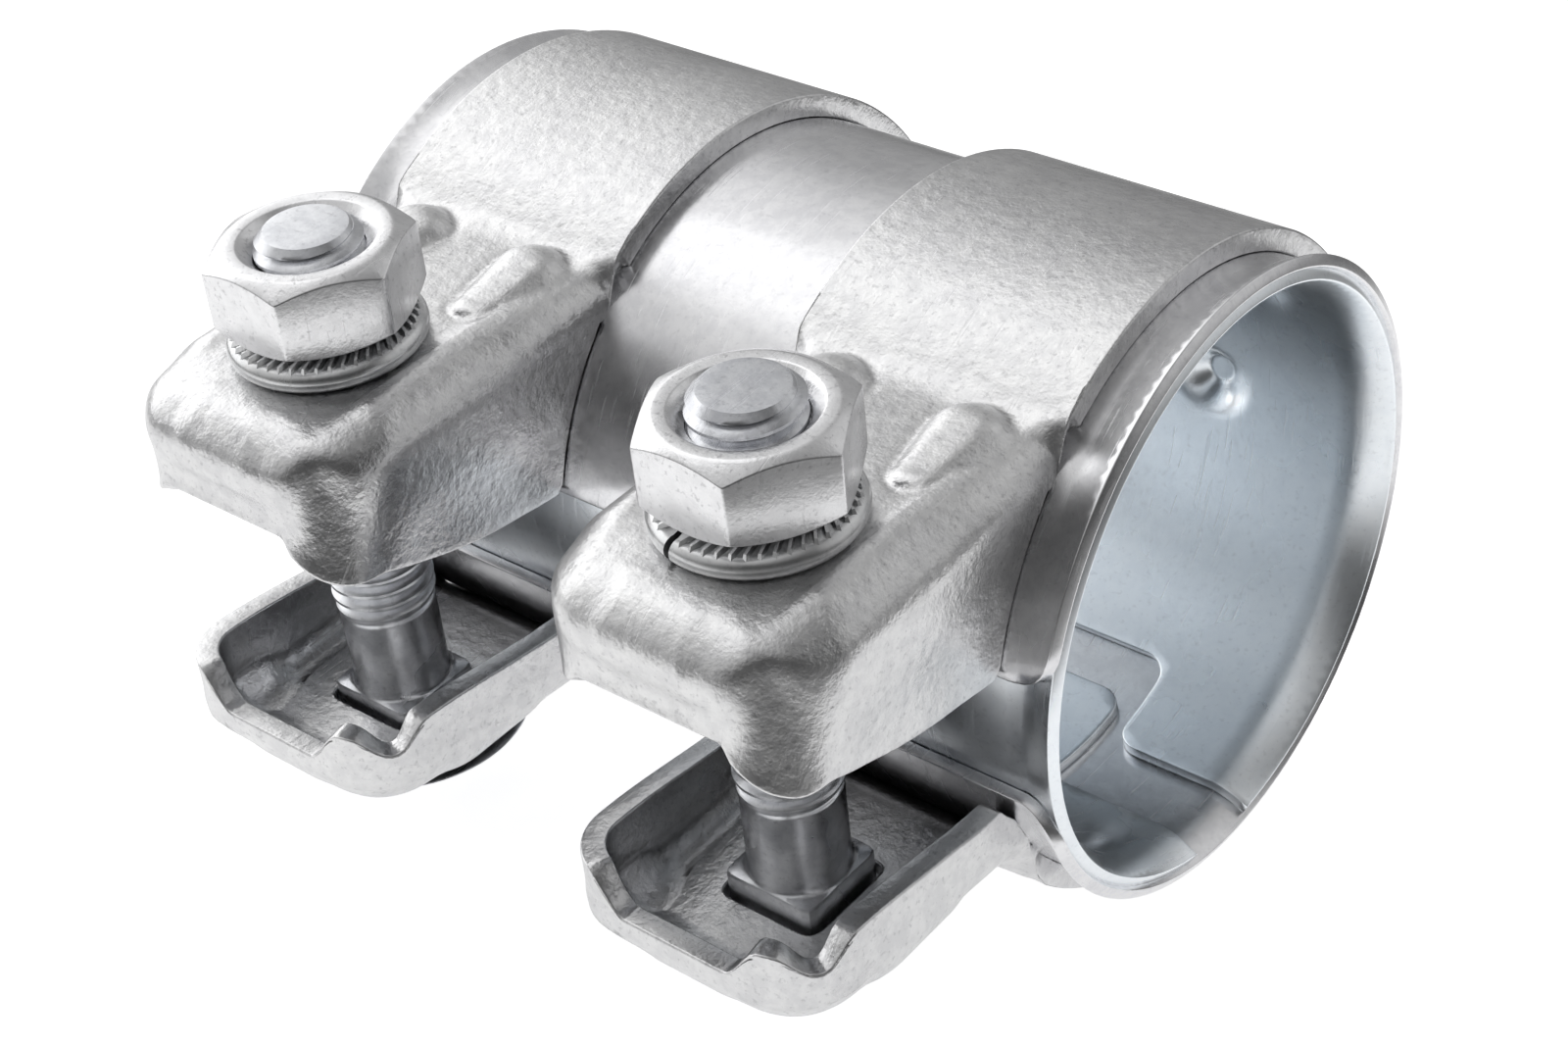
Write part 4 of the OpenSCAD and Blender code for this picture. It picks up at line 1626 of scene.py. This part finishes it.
@dataclass
class Studio:
    """Floor, lamp, world and camera."""

    azimuth: float = 42.63596
    elevation: float = 36.40071
    roll: float = -6.46613
    lens: float = 65.456
    sensor_w: float = 36.0
    distance: float = 283.94
    shift_right: float = -6.403
    shift_up: float = -8.634
    base_light: float = 0.08
    glows: tuple[Glow, ...] = (
        Glow((-0.55, -0.40, 0.73), 0.35, 0.95, 0.54),
        Glow((-0.45, 0.55, 0.70), 0.40, 0.95, 0.30),
        Glow((-0.98, 0.05, 0.15), 0.66, 0.97, 1.20),
        Glow((0.60, 0.58, 0.50), 0.72, 0.97, 0.50),
        Glow((0.40, -0.43, 0.80), 0.86, 0.99, 0.20),
    )
    # The floor's painted shade away from the part and on the camera's side, and its painted glow in reflections
    floor_half: float = 3.0
    floor_near: float = 0.17
    floor_far: float = 0.45
    floor_far_left: float = 0.08
    floor_fades: tuple[FloorFade, ...] = (
        FloorFade((0.677, -0.736, 0.0), 0.09, 0.13, 0.42),
        FloorFade((0.9, -0.44, 0.0), 0.108, 0.124, 0.30),
    )
    floor_shine: float = 0.64
    floor_white: float = 0.74
    lamp_place: Triple = (-0.35, -0.25, 0.8)
    lamp_size: float = 0.6
    lamp_power: float = 0.6

    def floor(self) -> None:
        """Make a pale floor under the lowest point, white to the camera, that keeps the shadow. Other rays see painted
        shade away from the part and on the camera's side, and reflections see a painted glow.
        """
        low, r = CAD_BOX[0][2], self.floor_half
        mesh = bpy.data.meshes.new("floor")
        mesh.from_pydata([(-r, -r, low), (r, -r, low), (r, r, low), (-r, r, low)], [], [(0, 1, 2, 3)])
        floor = in_scene("floor", mesh)
        material = bpy.data.materials.new("floor")
        material.use_nodes = True
        tree = Tree(material.node_tree)
        surface = material.node_tree.nodes["Principled BSDF"].inputs
        path = tree.node("ShaderNodeLightPath").outputs
        place = tree.result("ShaderNodeTexCoord", {}, "Object")
        length = tree.result("ShaderNodeVectorMath", {0: place}, "Value", operation="LENGTH")
        # Painted shade: to every ray but the camera's, the floor is darker away from the part and on the camera's side
        near = tree.spread(length, self.floor_near, self.floor_far, 1.0, self.floor_far_left)
        for side in self.floor_fades:
            left = tree.spread(tree.dot(place, side.toward), side.starts_at, side.ends_at, 1.0, side.left)
            near = tree.times(near, left)
        seen = tree.calc("MAXIMUM", path["Is Camera Ray"], tree.times(near, 0.9))
        # Painted glow: reflections see the near floor light up
        shine = tree.calc("MAXIMUM", path["Is Glossy Ray"], path["Is Transmission Ray"])
        shine = tree.times(tree.times(shine, near), self.floor_shine)
        shine = tree.plus(shine, tree.times(path["Is Camera Ray"], self.floor_white))
        for label, value in (
            ("Roughness", 0.7), ("Specular IOR Level", 0.0), ("Emission Color", (1, 1, 1, 1)),
            ("Base Color", tree.mix(seen, (0.2, 0.2, 0.2, 1), (0.8, 0.8, 0.8, 1))), ("Emission Strength", shine),
        ):
            tree.feed(surface[label], value)
        mesh.materials.append(material)

    def world(self) -> None:
        """Make a sky with soft bright parts over a dim one; it is white to the camera."""
        world = bpy.data.worlds.new("studio")
        bpy.context.scene.world = world
        world.use_nodes = True
        tree = Tree(world.node_tree)
        background = world.node_tree.nodes["Background"].inputs
        direction = tree.result("ShaderNodeTexCoord", {}, "Generated")
        light: object = self.base_light
        for glow in self.glows:
            aim = np.array(glow.toward) / np.linalg.norm(glow.toward)
            reach = tree.dot(direction, tuple(aim))
            light = tree.plus(light, tree.spread(reach, glow.fades_at, glow.full_at, 0.0, glow.strength))
        seen = tree.node("ShaderNodeLightPath").outputs["Is Camera Ray"]
        tree.feed(background["Strength"], tree.calc("MAXIMUM", light, seen))
        tree.feed(background["Color"], (1, 1, 1, 1))

    def lamp(self) -> None:
        """Make a square lamp that is aimed at the part's middle."""
        data = bpy.data.lights.new("key", "AREA")
        data.shape = "RECTANGLE"
        data.size = data.size_y = self.lamp_size
        data.energy = self.lamp_power
        lamp = in_scene("key", data)
        lamp.location = Vector(self.lamp_place)
        lamp.rotation_euler = (-Vector(self.lamp_place)).to_track_quat("-Z", "Y").to_euler()

    def camera(self) -> None:
        """Make the camera at the photograph's view, worked out from the nuts, rims and straps."""
        a, e, r = (math.radians(v) for v in (self.azimuth, self.elevation, self.roll))
        back = np.array([math.sin(a) * math.cos(e), -math.cos(a) * math.cos(e), math.sin(e)])
        level = np.array([math.cos(a), math.sin(a), 0.0])
        upright = np.cross(back, level)
        right = math.cos(r) * level + math.sin(r) * upright
        up = -math.sin(r) * level + math.cos(r) * upright
        place = self.distance * back + self.shift_right * right + self.shift_up * up
        axes = leaned(np.array([right, up, back, place]))
        data = bpy.data.cameras.new("camera")
        data.lens, data.sensor_width = self.lens, self.sensor_w
        data.clip_start, data.clip_end = 0.01, 20.0
        camera = in_scene("camera", data)
        matrix = np.eye(4)
        matrix[:3, :3], matrix[:3, 3] = axes[:3].T, axes[3] * MM
        camera.matrix_world = Matrix(matrix.tolist())
        bpy.context.scene.camera = camera

    def build(self) -> None:
        """Set the studio up."""
        self.floor()
        self.world()
        self.lamp()
        self.camera()
        bpy.context.scene.view_settings.view_transform = "Standard"


def main() -> None:
    """Build the connector piece by piece, then the studio."""
    logging.basicConfig(level=logging.INFO, format="%(name)s %(message)s")
    plating = Plating().build()
    clamp_zinc, sleeve_zinc, liner_zinc, bolt_steel, nut_steel, washer_steel = (f.build(plating) for f in FINISHES)
    rolling = rolling_tree()
    OuterSleeve().build(rolling, sleeve_zinc)
    InnerLiner().build(rolling, liner_zinc)
    serrations = serration_tree()
    for end in End:
        Clamp(end).build(clamp_zinc)
        Bolt(end).build(bolt_steel)
        Nut(end).build(nut_steel)
        LockWasher(end).build(serrations, washer_steel)
    Studio().build()


if __name__ == "__main__":
    main()
